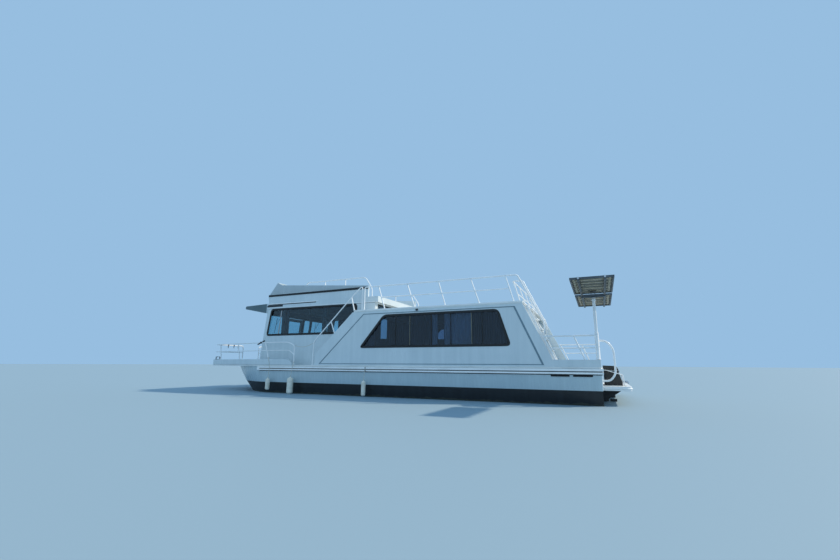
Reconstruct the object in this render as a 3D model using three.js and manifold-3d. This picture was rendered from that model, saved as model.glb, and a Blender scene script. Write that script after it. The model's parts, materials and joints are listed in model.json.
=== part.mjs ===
import * as THREE from 'three';
import { mergeVertices } from 'three/addons/utils/BufferGeometryUtils.js';
import Module from 'manifold-3d';

// Coastal houseboat, afloat: raised pilothouse forward, full-width cabin aft, flybridge and roof deck.
// Millimetres, +X to the bow, +Y to port, +Z up. The origin is on the centreline at the waterline.

const wasm = await Module();
wasm.setup();

// Driving dimensions
const BEAM = 4270;
const HALF = BEAM / 2;
const X_TRANSOM = -5900;
const X_BOW = 5950;
const Z_BOOT = 300;
const Z_RAIL_LOW = 632;
const Z_RAIL_TOP = 742;
const Z_SHEER = 745;
const Z_DECK = 780;
const Z_BULWARK = 945;
const Z_COCKPIT = 420;
const Z_CABIN_FLOOR = 280;
const Z_PILOT_FLOOR = Z_DECK;
const Z_CABIN_TOP = 2180;
const Z_ROOF_DECK = 2240;
const Z_PILOT_TOP = 2500;
const Z_FLY_FLOOR = 2668;
const GAP = 0.3;

const HULL_HALF = HALF - 45;
const DECK_HALF = HALF - 25;
const PANEL_OUT = HALF - 35;
const PANEL_IN = PANEL_OUT - 60;
const PILOT_OUT = 1650;
const PILOT_IN = PILOT_OUT - 45;
const RAIL_Y = HALF - 60;
const TUBE_R = 16;
const TUBE_SIDES = 6;
const BEND_STEPS = 3;

// Materials
const paint = (color, roughness, metalness = 0) =>
  new THREE.MeshStandardMaterial({ color, roughness, metalness });
const GELCOAT = paint(0xf0f1ee, 0.35);
const HULL_PAINT = paint(0xe8ecee, 0.35);
const DECK_PAINT = paint(0xd9dad4, 0.7);
const STEEL = paint(0xd8dcdf, 0.25, 0.9);
const GLASS = paint(0x1b2630, 0.08);
const DARK_PLASTIC = paint(0x22201f, 0.6);
const VINYL = paint(0xf2efe8, 0.5);
const CUSHION = paint(0xcfc8ba, 0.85);
const ROPE = paint(0xb9b3a4, 0.9);
const DRIVE_PAINT = paint(0x2b2e31, 0.45);
const BRONZE = paint(0x8d7a55, 0.4, 0.8);
const PANEL_CELLS = paint(0x2a3038, 0.2);
const WOOD = paint(0x7a5a3c, 0.6);

// Solids: joining, cutting, and the change between a geometry and a solid
function solid(geometry) {
  const bare = geometry.index ? geometry.toNonIndexed() : geometry.clone();
  bare.deleteAttribute('normal');
  bare.deleteAttribute('uv');
  const merged = mergeVertices(bare, 1e-3);
  return new wasm.Manifold(new wasm.Mesh({
    numProp: 3,
    vertProperties: new Float32Array(merged.attributes.position.array),
    triVerts: new Uint32Array(merged.index.array),
  }));
}

function geometryOf(body) {
  const mesh = body.getMesh();
  const geometry = new THREE.BufferGeometry();
  geometry.setAttribute('position', new THREE.BufferAttribute(new Float32Array(mesh.vertProperties), 3));
  geometry.setIndex(new THREE.BufferAttribute(new Uint32Array(mesh.triVerts), 1));
  geometry.computeVertexNormals();
  return geometry;
}

const join = (...bodies) => bodies.reduce((sum, next) => sum.add(next));
const cut = (body, ...tools) => tools.reduce((rest, tool) => rest.subtract(tool), body);
const mirrorY = (body) => body.mirror([0, 1, 0]);

// Prisms: an outline of [a, b] points drawn in one plane and pushed along the third axis
function shapeOf(points) {
  return new THREE.Shape(points.map(([a, b]) => new THREE.Vector2(a, b)));
}

function extrude(shape, depth, curveSegments = 5) {
  return new THREE.ExtrudeGeometry(shape, { depth, bevelEnabled: false, curveSegments });
}

function prismXY(shape, z0, z1) {
  return solid(extrude(shape, z1 - z0).translate(0, 0, z0));
}

function prismXZ(shape, y0, y1) {
  return solid(extrude(shape, y1 - y0).rotateX(Math.PI / 2).translate(0, y1, 0));
}

function prismYZ(shape, x0, x1) {
  const turn = new THREE.Matrix4().set(0, 0, 1, x0, 1, 0, 0, 0, 0, 1, 0, 0, 0, 0, 0, 1);
  return solid(extrude(shape, x1 - x0).applyMatrix4(turn));
}

function box([x0, x1], [y0, y1], [z0, z1]) {
  const geometry = new THREE.BoxGeometry(x1 - x0, y1 - y0, z1 - z0);
  return solid(geometry.translate((x0 + x1) / 2, (y0 + y1) / 2, (z0 + z1) / 2));
}

// An outline with every corner rounded to the same radius
function rounded(points, radius) {
  const shape = new THREE.Shape();
  points.forEach(([x, y], i) => {
    const here = new THREE.Vector2(x, y);
    const before = new THREE.Vector2(...points[(i + points.length - 1) % points.length]);
    const after = new THREE.Vector2(...points[(i + 1) % points.length]);
    const start = here.clone().add(before.sub(here).setLength(radius));
    const end = here.clone().add(after.sub(here).setLength(radius));
    if (i === 0) shape.moveTo(start.x, start.y);
    else shape.lineTo(start.x, start.y);
    shape.quadraticCurveTo(x, y, end.x, end.y);
  });
  return shape;
}

// A convex outline moved inward by a distance
function inset(points, distance) {
  const turn = Math.sign(THREE.ShapeUtils.area(points.map(([x, y]) => new THREE.Vector2(x, y))));
  const lines = points.map(([x, y], i) => {
    const [u, v] = points[(i + 1) % points.length];
    const length = Math.hypot(u - x, v - y);
    const normal = [-turn * (v - y) / length, turn * (u - x) / length];
    return { normal, c: normal[0] * x + normal[1] * y + distance };
  });
  return lines.map((b, i) => {
    const a = lines[(i + lines.length - 1) % lines.length];
    const det = a.normal[0] * b.normal[1] - a.normal[1] * b.normal[0];
    return [(a.c * b.normal[1] - b.c * a.normal[1]) / det, (a.normal[0] * b.c - b.normal[0] * a.c) / det];
  });
}

// Tubes: a path that passes through a list of points, each corner rounded by an arc
class Polyline extends THREE.Curve {
  constructor(points) {
    super();
    this.points = points;
  }

  getUtoTmapping(u) {
    return u;
  }

  getPoint(t, target = new THREE.Vector3()) {
    const place = t * (this.points.length - 1);
    const i = Math.min(Math.floor(place), this.points.length - 2);
    return target.lerpVectors(this.points[i], this.points[i + 1], place - i);
  }

  getTangent(t, target = new THREE.Vector3()) {
    const i = Math.round(t * (this.points.length - 1));
    const here = this.points[i];
    const before = this.points[Math.max(i - 1, 0)];
    const after = this.points[Math.min(i + 1, this.points.length - 1)];
    const arrive = here.clone().sub(before).normalize();
    const leave = after.clone().sub(here).normalize();
    return target.copy(arrive).add(leave).normalize();
  }
}

function bend(points, radius, arcSteps) {
  const path = [];
  points.forEach((point, i) => {
    if (i === 0 || i === points.length - 1) {
      path.push(point.clone());
      return;
    }
    const back = points[i - 1].clone().sub(point);
    const on = points[i + 1].clone().sub(point);
    const reach = Math.min(radius, back.length() * 0.48, on.length() * 0.48);
    const arc = new THREE.QuadraticBezierCurve3(
      back.setLength(reach).add(point), point, on.setLength(reach).add(point));
    for (let k = 0; k <= arcSteps; k += 1) path.push(arc.getPoint(k / arcSteps));
  });
  return path;
}

function ring(radius, sides) {
  const points = Array.from({ length: sides }, (_, k) => {
    const angle = (2 * Math.PI * k) / sides;
    return [radius * Math.cos(angle), radius * Math.sin(angle)];
  });
  return shapeOf(points);
}

function tube(points, radius = TUBE_R, bendRadius = 90, sides = TUBE_SIDES) {
  const corners = points.map((p) => new THREE.Vector3(...p));
  const path = bendRadius > 0 ? bend(corners, bendRadius, BEND_STEPS) : corners;
  return solid(new THREE.ExtrudeGeometry(ring(radius, sides), {
    steps: path.length - 1, extrudePath: new Polyline(path), bevelEnabled: false,
  }));
}

function disc([x, y, z], radius, height, sides = 8) {
  const geometry = new THREE.CylinderGeometry(radius, radius, height, sides);
  return solid(geometry.rotateX(Math.PI / 2).translate(x, y, z + height / 2));
}

// A stanchion with a round foot plate where it meets the deck
function post(top, foot, radius = TUBE_R) {
  const [x, y, z] = foot;
  const shaft = cut(tube([foot, top], radius), box([x - 90, x + 90], [y - 90, y + 90], [z - 60, z]));
  return join(shaft, disc(foot, radius + 12, 8));
}

// Hull: plan outlines stacked from the keel to the sheer. The bow of each is a superellipse.
const HULL_LEVELS = [
  { z: -520, half: 260, bowStart: 2600, bowEnd: 3900 },
  { z: -200, half: 1900, bowStart: 2700, bowEnd: 4650 },
  { z: 0, half: 2010, bowStart: 2900, bowEnd: 5030 },
  { z: Z_BOOT, half: 2060, bowStart: 3050, bowEnd: 5380 },
  { z: 600, half: HULL_HALF, bowStart: 3180, bowEnd: 5640 },
  { z: Z_SHEER, half: HULL_HALF, bowStart: 3200, bowEnd: 5750 },
];
const BOW_POWER = 1.6;
const BOW_STEPS = 9;

function hullOutline({ half, bowStart, bowEnd }) {
  const side = [[X_TRANSOM, half], [-2500, half], [500, half], [bowStart, half]];
  for (let k = 1; k < BOW_STEPS; k += 1) {
    const angle = (Math.PI / 2) * (k / BOW_STEPS);
    side.push([
      bowStart + (bowEnd - bowStart) * Math.sin(angle) ** (2 / BOW_POWER),
      half * Math.cos(angle) ** (2 / BOW_POWER),
    ]);
  }
  const starboard = side.map(([x, y]) => [x, -y]);
  return [...starboard, [bowEnd, 0], ...side.reverse()];
}

function loft(levels, outline) {
  const rings = levels.map((level) => outline(level).map(([x, y]) => [x, y, level.z]));
  const count = rings[0].length;
  const index = [];
  rings.slice(1).forEach((_, r) => {
    for (let k = 0; k < count; k += 1) {
      const a = r * count + k;
      const b = r * count + ((k + 1) % count);
      index.push(a, b, a + count, b, b + count, a + count);
    }
  });
  const cap = THREE.ShapeUtils.triangulateShape(rings[0].map(([x, y]) => new THREE.Vector2(x, y)), []);
  const topCap = THREE.ShapeUtils.triangulateShape(rings.at(-1).map(([x, y]) => new THREE.Vector2(x, y)), []);
  const last = (rings.length - 1) * count;
  cap.forEach(([a, b, c]) => index.push(a, c, b));
  topCap.forEach(([a, b, c]) => index.push(last + a, last + b, last + c));
  const geometry = new THREE.BufferGeometry();
  geometry.setAttribute('position', new THREE.Float32BufferAttribute(rings.flat(2), 3));
  geometry.setIndex(index);
  return geometry;
}

const DRIVE = { x: -6095, y: 620 };
const DOOR_GAP = 8;
// Both doors turn on leaning axes, so their tops rise as they open and need more room than their sides
const AFT_DOOR = { y0: -920, y1: -220, top: 2060, rise: 22 };
const FRONT_DOOR_RISE = 13;
const STERN_GATE = 320;
const HATCH = { x0: -5660, x1: -5000, half: 760, deep: 30 };
const WELLS = {
  cabin: [[-4700, -150], [-1940, 1940], [Z_CABIN_FLOOR, 2000]],
  cockpit: [[-5780, -4960], [-1900, 1900], [Z_COCKPIT, 2000]],
  aftDoor: [[-4970, -4600], [AFT_DOOR.y0, AFT_DOOR.y1], [Z_COCKPIT, 2000]],
  sternGate: [[-6000, -5700], [-STERN_GATE, STERN_GATE], [Z_COCKPIT, 2000]],
  engines: [[HATCH.x0 + 40, HATCH.x1 - 40], [-HATCH.half + 40, HATCH.half - 40], [-180, 600]],
  hatchRebate: [[HATCH.x0, HATCH.x1], [-HATCH.half, HATCH.half], [Z_COCKPIT - HATCH.deep, 600]],
};

function hull() {
  const shell = cut(solid(loft(HULL_LEVELS, hullOutline)), ...Object.values(WELLS).map((w) => box(...w)));
  return join(shell, transomShield(1), transomShield(-1));
}

// Boss on the transom that carries a steered leg
function transomShield(side) {
  const y = side * DRIVE.y;
  return join(
    box([X_TRANSOM - 60, X_TRANSOM + 5], [y - 170, y + 170], [-180, 240]),
    box([X_TRANSOM - 112, X_TRANSOM - 55], [y - 60, y + 60], [-120, 60]),
  );
}

// Deck: side decks, a square bow deck that overhangs the stem, and its low bulwark
const BOW_CORNER = [X_BOW, 1560];
const TAPER_START = 3350;
const BULWARK_THICK = 70;
const SIDE_GATE_FRONT = 2090;
const BULWARK_END = [[2000, Z_DECK], [SIDE_GATE_FRONT, Z_DECK], [2140, 880], [2280, Z_BULWARK + 1], [2000, 1000]];
const TRANSOM_WALL = { thick: 60, top: 930, sill: 6, lining: 8 };
const WINDLASS_PAD = { x: [5150, 5450], half: 150, high: 10 };

function deckOutline(back = 0, radius = 150) {
  const side = DECK_HALF - back;
  const [bowX, bowY] = [BOW_CORNER[0] - back, BOW_CORNER[1] - back];
  const taper = (DECK_HALF - BOW_CORNER[1]) / (BOW_CORNER[0] - TAPER_START);
  const shape = new THREE.Shape();
  shape.moveTo(X_TRANSOM, -side);
  shape.lineTo(TAPER_START, -side);
  shape.lineTo(bowX - radius, -bowY - radius * taper);
  shape.quadraticCurveTo(bowX, -bowY, bowX, -bowY + radius);
  shape.lineTo(bowX, bowY - radius);
  shape.quadraticCurveTo(bowX, bowY, bowX - radius, bowY + radius * taper);
  shape.lineTo(TAPER_START, side);
  shape.lineTo(X_TRANSOM, side);
  return shape;
}

function deck() {
  const holes = ['cabin', 'cockpit', 'aftDoor', 'sternGate'].map((name) => {
    const [lengthwise, across] = WELLS[name];
    return box(lengthwise, across, [Z_SHEER - 50, Z_DECK + 50]);
  });
  const { x, half, high } = WINDLASS_PAD;
  return join(
    cut(prismXY(deckOutline(), Z_SHEER + GAP, Z_DECK), ...holes),
    box(x, [-half, half], [Z_DECK - 1, Z_DECK + high]),
  );
}

function bulwark() {
  return cut(
    prismXY(deckOutline(), Z_DECK + GAP, Z_BULWARK),
    prismXY(deckOutline(BULWARK_THICK, 110), Z_DECK - 2, Z_BULWARK + 10),
    box([X_TRANSOM - 100, SIDE_GATE_FRONT], [-HALF, HALF], [Z_DECK - 5, Z_BULWARK + 10]),
    prismXZ(shapeOf(BULWARK_END), -HALF, HALF),
  );
}

// Low wall on the transom, in two halves with the stern gate between them. The gate's sill joins them.
function transomWall() {
  const { thick, top, sill } = TRANSOM_WALL;
  return join(...[-1, 1].map((side) => {
    const reach = [side * (STERN_GATE - 1), side * (PANEL_IN - 10)].sort((a, b) => a - b);
    return box([X_TRANSOM, X_TRANSOM + thick], reach, [Z_DECK + GAP, top]);
  }), ...gateJambs(sill));
}

// The gate's lining: two jambs and a sill that stand in the notch of the transom
function gateJambs(sill) {
  const { lining, top } = TRANSOM_WALL;
  const x = [X_TRANSOM - 4, X_TRANSOM + 119];
  const jambs = [-1, 1].map((side) => {
    const y = [side * (STERN_GATE - GAP), side * (STERN_GATE - GAP - lining)].sort((a, b) => a - b);
    return box(x, y, [Z_COCKPIT + GAP, top]);
  });
  return [...jambs, box(x, [-STERN_GATE + GAP, STERN_GATE - GAP], [Z_COCKPIT + GAP, Z_COCKPIT + sill])];
}

// Rub rail of one side: two proud mouldings on a flat strip, from the bow taper round to the stern gate
const RUB_STRIP = 28;
const RUB_PROUD = 45;

function rubRail() {
  const band = (reach, z0, z1) => {
    const y = HULL_HALF + reach;
    const outer = [[X_TRANSOM - reach, STERN_GATE], [TAPER_START + 40, STERN_GATE],
      [TAPER_START + 40, HULL_HALF + 1], [TAPER_START - 20, y], [X_TRANSOM - reach, y]];
    return cut(
      prismXY(shapeOf(outer), z0, z1),
      box([X_TRANSOM - GAP, TAPER_START + 100], [0, HULL_HALF + GAP], [z0 - 5, z1 + 5]),
    );
  };
  return join(
    band(RUB_STRIP, Z_RAIL_LOW, Z_RAIL_TOP),
    band(RUB_PROUD, Z_RAIL_LOW, Z_RAIL_LOW + 38),
    band(RUB_PROUD, Z_RAIL_TOP - 50, Z_RAIL_TOP),
  );
}

// Aft cabin: full-width side panels whose ends run down as wings, and a slanted aft bulkhead
const SIDE_PANEL = [[1320, Z_DECK + GAP], [1275, 1095], [128, Z_CABIN_TOP - GAP], [-4386, Z_CABIN_TOP - GAP],
  [-4969, 930], [-5888, 925], [-5895, Z_DECK + GAP]];
const SIDE_RECESS = [[1170, 812], [-215, 2125], [-4216, 2125], [-4790, 812]];
const CABIN_WINDOW = [[-183, 1262], [-837, 2045], [-3810, 2045], [-4054, 1262]];
const WINDOW_ROUND = 75;
const BULKHEAD_SLOPE = (4795 - 4205) / (2169 - 783);
const bulkheadX = (z, offset = 0) => -4795 + (z - 783) * BULKHEAD_SLOPE + offset;

function cabinSide() {
  const panel = prismXZ(shapeOf(SIDE_PANEL), PANEL_IN, PANEL_OUT);
  const recess = prismXZ(shapeOf(SIDE_RECESS), PANEL_OUT - 14, PANEL_OUT + 20);
  const window = prismXZ(rounded(CABIN_WINDOW, WINDOW_ROUND), PANEL_IN - 20, PANEL_OUT + 20);
  return cut(panel, recess, window);
}

function pane(outline, round, y0, y1) {
  return prismXZ(rounded(inset(outline, 2), round), y0, y1);
}

function aftBulkhead() {
  const y = PANEL_IN - GAP;
  const [low, high] = [Z_DECK + GAP, Z_CABIN_TOP - GAP];
  const slab = prismXZ(shapeOf([[bulkheadX(low), low], [bulkheadX(low, 45), low],
    [bulkheadX(high, 45), high], [bulkheadX(high), high]]), -y, y);
  const doorway = box([-4900, -4100], [AFT_DOOR.y0, AFT_DOOR.y1], [low - 5, AFT_DOOR.top]);
  return cut(slab, doorway);
}

function aftDoor() {
  const [low, high] = [Z_COCKPIT + 20, AFT_DOOR.top - AFT_DOOR.rise];
  const leaf = slantedPane(2, 35, [AFT_DOOR.y0 + DOOR_GAP, AFT_DOOR.y1 - DOOR_GAP], [low, high]);
  return cut(leaf, box([-5100, -4100], [AFT_DOOR.y0 + 100, AFT_DOOR.y1 - 100], [1150, 1960]));
}

function slantedPane(offset, thick, [y0, y1], [z0, z1]) {
  return prismXZ(shapeOf([[bulkheadX(z0, offset), z0], [bulkheadX(z0, offset + thick), z0],
    [bulkheadX(z1, offset + thick), z1], [bulkheadX(z1, offset), z1]]), y0, y1);
}

// A flat pad for gear that is bolted to the roof deck
const ROOF_PAD = { x: [-2600, -2200], half: 200, high: 10 };

function cabinRoof() {
  const y = DECK_HALF - 5;
  const plan = shapeOf([[-4395, -y], [92, -y], [92, -PILOT_OUT - 5], [-304, -PILOT_OUT - 5],
    [-304, PILOT_OUT + 5], [92, PILOT_OUT + 5], [92, y], [-4395, y]]);
  const { x, half, high } = ROOF_PAD;
  return join(
    prismXY(plan, Z_CABIN_TOP, Z_ROOF_DECK),
    box(x, [-half, half], [Z_ROOF_DECK - 1, Z_ROOF_DECK + high]),
  );
}

// Pilothouse: raked front, side walls with one long window each, and a low wall above the roof deck
const PILOT_AFT = -300;
const frontX = (z) => 3785 - (z - Z_DECK) * 0.1142;
const PILOT_WINDOW = [[3540, 1680], [3418, 2474], [298, 2474], [298, 1680]];
// The front door stands to port of the helm, which has two panes ahead of it
const PILOT_DOOR = { y0: -30, y1: 710, z0: 830, z1: 2320, stile: 70, glass: [1480, 2240] };
const WINDSHIELD = { z0: 1560, z1: 2330, port: [[800, 1520]], starboard: [[-1520, -500], [-455, -100]] };

function pilotSide() {
  const [low, high] = [Z_DECK + GAP, Z_PILOT_TOP - GAP];
  const wall = prismXZ(shapeOf([[PILOT_AFT, low], [frontX(low), low], [frontX(high), high],
    [PILOT_AFT, high]]), PILOT_IN, PILOT_OUT);
  return cut(wall, prismXZ(rounded(PILOT_WINDOW, WINDOW_ROUND), PILOT_IN - 20, PILOT_OUT + 20));
}

function frontSlab(z0, z1, depth0, depth1, y0, y1) {
  return prismXZ(shapeOf([[frontX(z0) - depth1, z0], [frontX(z0) - depth0, z0],
    [frontX(z1) - depth0, z1], [frontX(z1) - depth1, z1]]), y0, y1);
}

function pilotFront() {
  const y = PILOT_IN - GAP;
  const { y0, y1, z0, z1 } = PILOT_DOOR;
  const wall = frontSlab(Z_DECK + GAP, Z_PILOT_TOP - GAP, 0, 45, -y, y);
  const { z0: low, z1: high, port, starboard } = WINDSHIELD;
  const panes = [...port, ...starboard].map(([a, b]) =>
    prismYZ(rounded([[a, low], [b, low], [b, high], [a, high]], 60), 3300, 3900));
  return cut(wall, ...panes, box([3300, 3900], [y0, y1], [z0, z1]));
}

function windshieldPane(openings) {
  const { z0, z1 } = WINDSHIELD;
  const lap = 25;
  const edges = openings.flat();
  return frontSlab(z0 - lap, z1 + lap, 46, 54, Math.min(...edges) - lap, Math.max(...edges) + lap);
}

function frontDoor() {
  const { y0, y1, z0, z1, stile, glass } = PILOT_DOOR;
  const leaf = frontSlab(z0 + DOOR_GAP, z1 - FRONT_DOOR_RISE, 2, 40, y0 + DOOR_GAP, y1 - DOOR_GAP);
  return cut(leaf, box([3300, 3900], [y0 + stile, y1 - stile], glass));
}

function frontDoorPane() {
  const { y0, y1, stile, glass: [low, high] } = PILOT_DOOR;
  return frontSlab(low + 3, high - 3, 16, 24, y0 + stile + 2, y1 - stile - 2);
}

function pilotAftWall() {
  const y = PILOT_IN - GAP;
  const wall = box([PILOT_AFT, PILOT_AFT + 45], [-y, y], [Z_CABIN_TOP - 90, Z_PILOT_TOP - GAP]);
  const windows = [[-1480, -120], [120, 1480]].map((span) =>
    box([PILOT_AFT - 10, PILOT_AFT + 55], span, [Z_ROOF_DECK + 45, Z_PILOT_TOP - 45]));
  return cut(wall, ...windows);
}

function pilotAftPane() {
  return box([PILOT_AFT + 47, PILOT_AFT + 53], [-1510, 1510], [Z_ROOF_DECK + 20, Z_PILOT_TOP - 20]);
}

// The roof carries a flat pad for an antenna, aft of the flybridge
const VISOR_TIP = 4665;
const ANTENNA_PAD = { x: [-340, -140], half: 110, high: 8 };

function pilotRoof() {
  const profile = shapeOf([[-400, Z_PILOT_TOP + GAP], [frontX(Z_PILOT_TOP) + 4, Z_PILOT_TOP + GAP],
    [frontX(2365) + 4, 2365], [4560, 2545], [VISOR_TIP, 2590], [4600, 2628], [3560, Z_FLY_FLOOR],
    [-400, Z_FLY_FLOOR]]);
  const slab = prismXZ(profile, -PILOT_OUT - 8, PILOT_OUT + 8);
  const corner = cut(
    box([VISOR_TIP - 220, VISOR_TIP + 50], [PILOT_OUT - 212, PILOT_OUT + 50], [2300, 2700]),
    disc([VISOR_TIP - 220, PILOT_OUT - 212, 2290], 220, 420, 24),
  );
  const { x, half, high } = ANTENNA_PAD;
  const pad = box(x, [-half, half], [Z_FLY_FLOOR - 1, Z_FLY_FLOOR + high]);
  return join(cut(slab, corner, mirrorY(corner)), pad);
}

// Flybridge: a tub on the pilothouse roof, tall in front and low at its open aft end
const FLY_PROFILE = [[-60, Z_FLY_FLOOR + GAP], [3570, Z_FLY_FLOOR + GAP], [3625, 2935], [3560, 2975],
  [3275, 3330], [3085, 3235], [-60, 3000]];
const FLY_HALF = 1635;

function flyCoaming() {
  const outer = prismXZ(shapeOf(FLY_PROFILE), -FLY_HALF, FLY_HALF);
  const inner = prismXZ(shapeOf([[-80, Z_FLY_FLOOR - 10], [3500, Z_FLY_FLOOR - 10], [3545, 2920],
    [3180, 3400], [-80, 3400]]), -FLY_HALF + 60, FLY_HALF - 60);
  return cut(outer, inner);
}

// Outside stairs from each side deck to the roof deck, moulded between pilothouse and wing
const STAIR_STEPS = 6;
const STAIR_X = { low: 1180, high: -10 };
const STAIR_BACK = -120;

function stairs() {
  const landing = Z_CABIN_TOP - GAP;
  const rise = (landing - Z_DECK) / STAIR_STEPS;
  const run = (STAIR_X.low - STAIR_X.high) / (STAIR_STEPS - 1);
  const profile = [[STAIR_X.low, Z_DECK + GAP]];
  for (let k = 0; k < STAIR_STEPS; k += 1) {
    const top = Z_DECK + rise * (k + 1);
    profile.push([STAIR_X.low - run * k, top]);
    if (k < STAIR_STEPS - 1) profile.push([STAIR_X.low - run * (k + 1), top]);
  }
  profile.push([STAIR_BACK, landing], [STAIR_BACK, Z_DECK + GAP]);
  return prismXZ(shapeOf(profile), PILOT_OUT + GAP, PANEL_IN - GAP);
}

// Handrail of the outside stairs: it starts as the aft gate post and ends in a loop on the roof deck
function stairRail() {
  const y = RAIL_Y;
  return join(
    tube([[1392, y, Z_DECK + 1], [1377, y, 1425], [193, y, 2596], [-80, y, 2847], [-150, y, 2850],
      [-150, y, Z_ROOF_DECK + 2]], TUBE_R, 60),
    disc([1392, y, Z_DECK + 1], 34, 8),
    tube([[193, y, 2596], [95, y, 2250]], TUBE_R, 10),
    tube([[831, y, 1960], [708, y, 1650]], TUBE_R, 10),
  );
}

// Rails: top and mid tubes with leaning stanchions
const BOW_RAIL_FRONT = { x: 5880, y: 1500, gap: 370 };
const BOW_RAIL_Z = { aft: 1424, front: 1430, mid: 1192, midFront: 1197 };
const railEdgeY = (x) => (x < TAPER_START ? RAIL_Y
  : RAIL_Y - (x - TAPER_START) * ((RAIL_Y - BOW_RAIL_FRONT.y) / (BOW_RAIL_FRONT.x - TAPER_START)));

function bowRail() {
  const { x, y, gap } = BOW_RAIL_FRONT;
  const { aft, front, mid, midFront } = BOW_RAIL_Z;
  const along = (px, z) => [px, railEdgeY(px), z];
  const posts = [[3150, 2990], [4560, 4400], [5600, 5500]].map(([top, foot]) =>
    post(along(top, aft), along(foot, Z_BULWARK + GAP)));
  return join(
    tube([along(2048, Z_DECK + 1), along(2055, 1330), along(2290, aft), along(TAPER_START, aft),
      [x, y, front], [x, gap, front], [x, gap, Z_BULWARK + 1]], TUBE_R, 80),
    tube([along(2052, 1070), along(2230, mid), along(TAPER_START, mid), [x, y, midFront], [x, gap, midFront]],
      TUBE_R * 0.8, 60),
    disc(along(2048, Z_DECK + 1), 34, 8),
    ...posts,
  );
}

const ROOF_POSTS = [[-632, -835], [-1481, -1695], [-2341, -2520], [-3178, -3379], [-4017, -4190]];
const ROOF_RAIL_Z = 2855;
const ROOF_RAIL_MID = 2545;
const ROOF_RAIL_Y = RAIL_Y - 15;
const ROOF_RAIL_END = -4150;

// Both top rails stop where the roof ladder's handrails butt against them
function roofRailPort() {
  const y = ROOF_RAIL_Y;
  return join(
    tube([...roofRailFront(y), [ROOF_RAIL_END + GAP, y, ROOF_RAIL_Z]], TUBE_R, 70),
    tube([[-735, y, ROOF_RAIL_MID], [-4103, y, ROOF_RAIL_MID]], TUBE_R * 0.8),
    ...roofRailPosts(y),
  );
}

const roofRailFront = (y) => [[-210, y, Z_ROOF_DECK + 1], [-210, y, ROOF_RAIL_Z - 10], [-330, y, ROOF_RAIL_Z]];

const roofRailPosts = (y) => ROOF_POSTS.map(([top, foot]) =>
  post([top, y, ROOF_RAIL_Z], [foot, y, Z_ROOF_DECK + GAP]));

function roofRailStarboard() {
  const y0 = -ROOF_RAIL_Y;
  const y1 = LADDER.y0 + 15;
  const [top, mid, foot] = [-4058, -4146, -4232];
  const crossing = [y1 - 60, 460, -380, -1220].map((y) => post([top, y, ROOF_RAIL_Z], [foot, y, Z_ROOF_DECK + GAP]));
  return join(
    tube([...roofRailFront(y0), [top, y0, ROOF_RAIL_Z], [top, y1, ROOF_RAIL_Z],
      [ROOF_RAIL_END + GAP, y1, ROOF_RAIL_Z]], TUBE_R, 38),
    tube([[-735, y0, ROOF_RAIL_MID], [mid, y0, ROOF_RAIL_MID], [mid, y1 - 60, ROOF_RAIL_MID]], TUBE_R * 0.8, 38),
    ...roofRailPosts(y0),
    ...crossing,
  );
}

function flyRail() {
  const y = FLY_HALF - 30;
  const z = 3245;
  const coamingTop = (x) => 3004 + (x + 60) * (235 / 3145);
  const posts = [1460, 740].map((x) => tube([[x, y, coamingTop(x)], [x, y, z]], TUBE_R));
  return join(
    tube([[2160, y, coamingTop(2165) + 4], [2100, y, z], [60, y, z], [-170, y, 2900], [-170, y, Z_FLY_FLOOR + 1]],
      TUBE_R, 90),
    ...posts,
  );
}

// Stern rail: along the cockpit side and round the corner to the stern gate
function sternRail() {
  const y = RAIL_Y;
  const x = -5868;
  const foot = 932;
  const [z, mid] = [1425, 1170];
  return join(
    tube([[-4790, y, z], [x, y, z], [x, 380, z], [x, 380, foot]], TUBE_R, 70),
    tube([[-4900, y, mid], [x, y, mid], [x, 380, mid]], TUBE_R * 0.8, 60),
    post([-5417, y, z], [-5609, y, foot]),
    post([-4800, y, z], [-5020, y, foot + 2]),
    post([x, 1880, z], [x, 1880, foot - 1]),
    post([x, 1150, z], [x, 1150, foot - 1]),
    disc([x, 380, foot], 28, 8),
  );
}

// Grab rail down to the swim platform, welded to a post of the port stern rail
function grabRail() {
  const [x, y, foot] = [X_TRANSOM - 50, 1880, 500];
  return tube([[x + 78, y, 1330], [x - 100, y, 1310], [x - 215, y, 1150], [x - 220, y, 640], [x - 110, y, foot],
    [X_TRANSOM - 2, y, foot]], TUBE_R + 4, 110);
}

// Ladder-like stair from the cockpit to the roof deck, parallel to the aft bulkhead
const LADDER = { y0: 1330, y1: 1790, treads: 7 };
const ladderX = (z, offset = 0) => bulkheadX(z, -217 + offset);

function roofLadder() {
  const { y0, y1, treads } = LADDER;
  const [low, high] = [Z_COCKPIT + 2, 2170];
  const stringer = (y) => prismXZ(shapeOf([[ladderX(low, -45), low], [ladderX(low, 45), low],
    [ladderX(high, 45), high], [ladderX(high, -45), high]]), y, y + 30);
  const steps = Array.from({ length: treads }, (_, k) => {
    const z = low + ((high - low) * (k + 1)) / (treads + 0.4);
    return box([ladderX(z, -90), ladderX(z, 30)], [y0 + 20, y1 + 10], [z, z + 28]);
  });
  return join(stringer(y0), stringer(y1), ...steps,
    ladderRail(y0 + 15, y0 + 15), ladderRail(y1 + 15, ROOF_RAIL_Y));
}

// A handrail from its stringer up to the roof rail whose end it meets
function ladderRail(foot, head) {
  return tube([[ladderX(1420), foot, 1420], [-4800, foot, 1520], [-4806, foot, 1750],
    [-4292, head, ROOF_RAIL_Z], [ROOF_RAIL_END, head, ROOF_RAIL_Z]], TUBE_R + 2, 60);
}

// Stern: swim platform with its dark locker, and a folding ladder
const PLATFORM = { x0: -6450, x1: X_TRANSOM - 2, half: 1810, z0: 300, z1: 388 };
const LOCKER = { x: X_TRANSOM - 48, foot: 350, crown: 250, y: [760, 1440] };
const PLATFORM_PAD = { x: [-6380, -6000], y: [60, 560], high: 6 };

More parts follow.
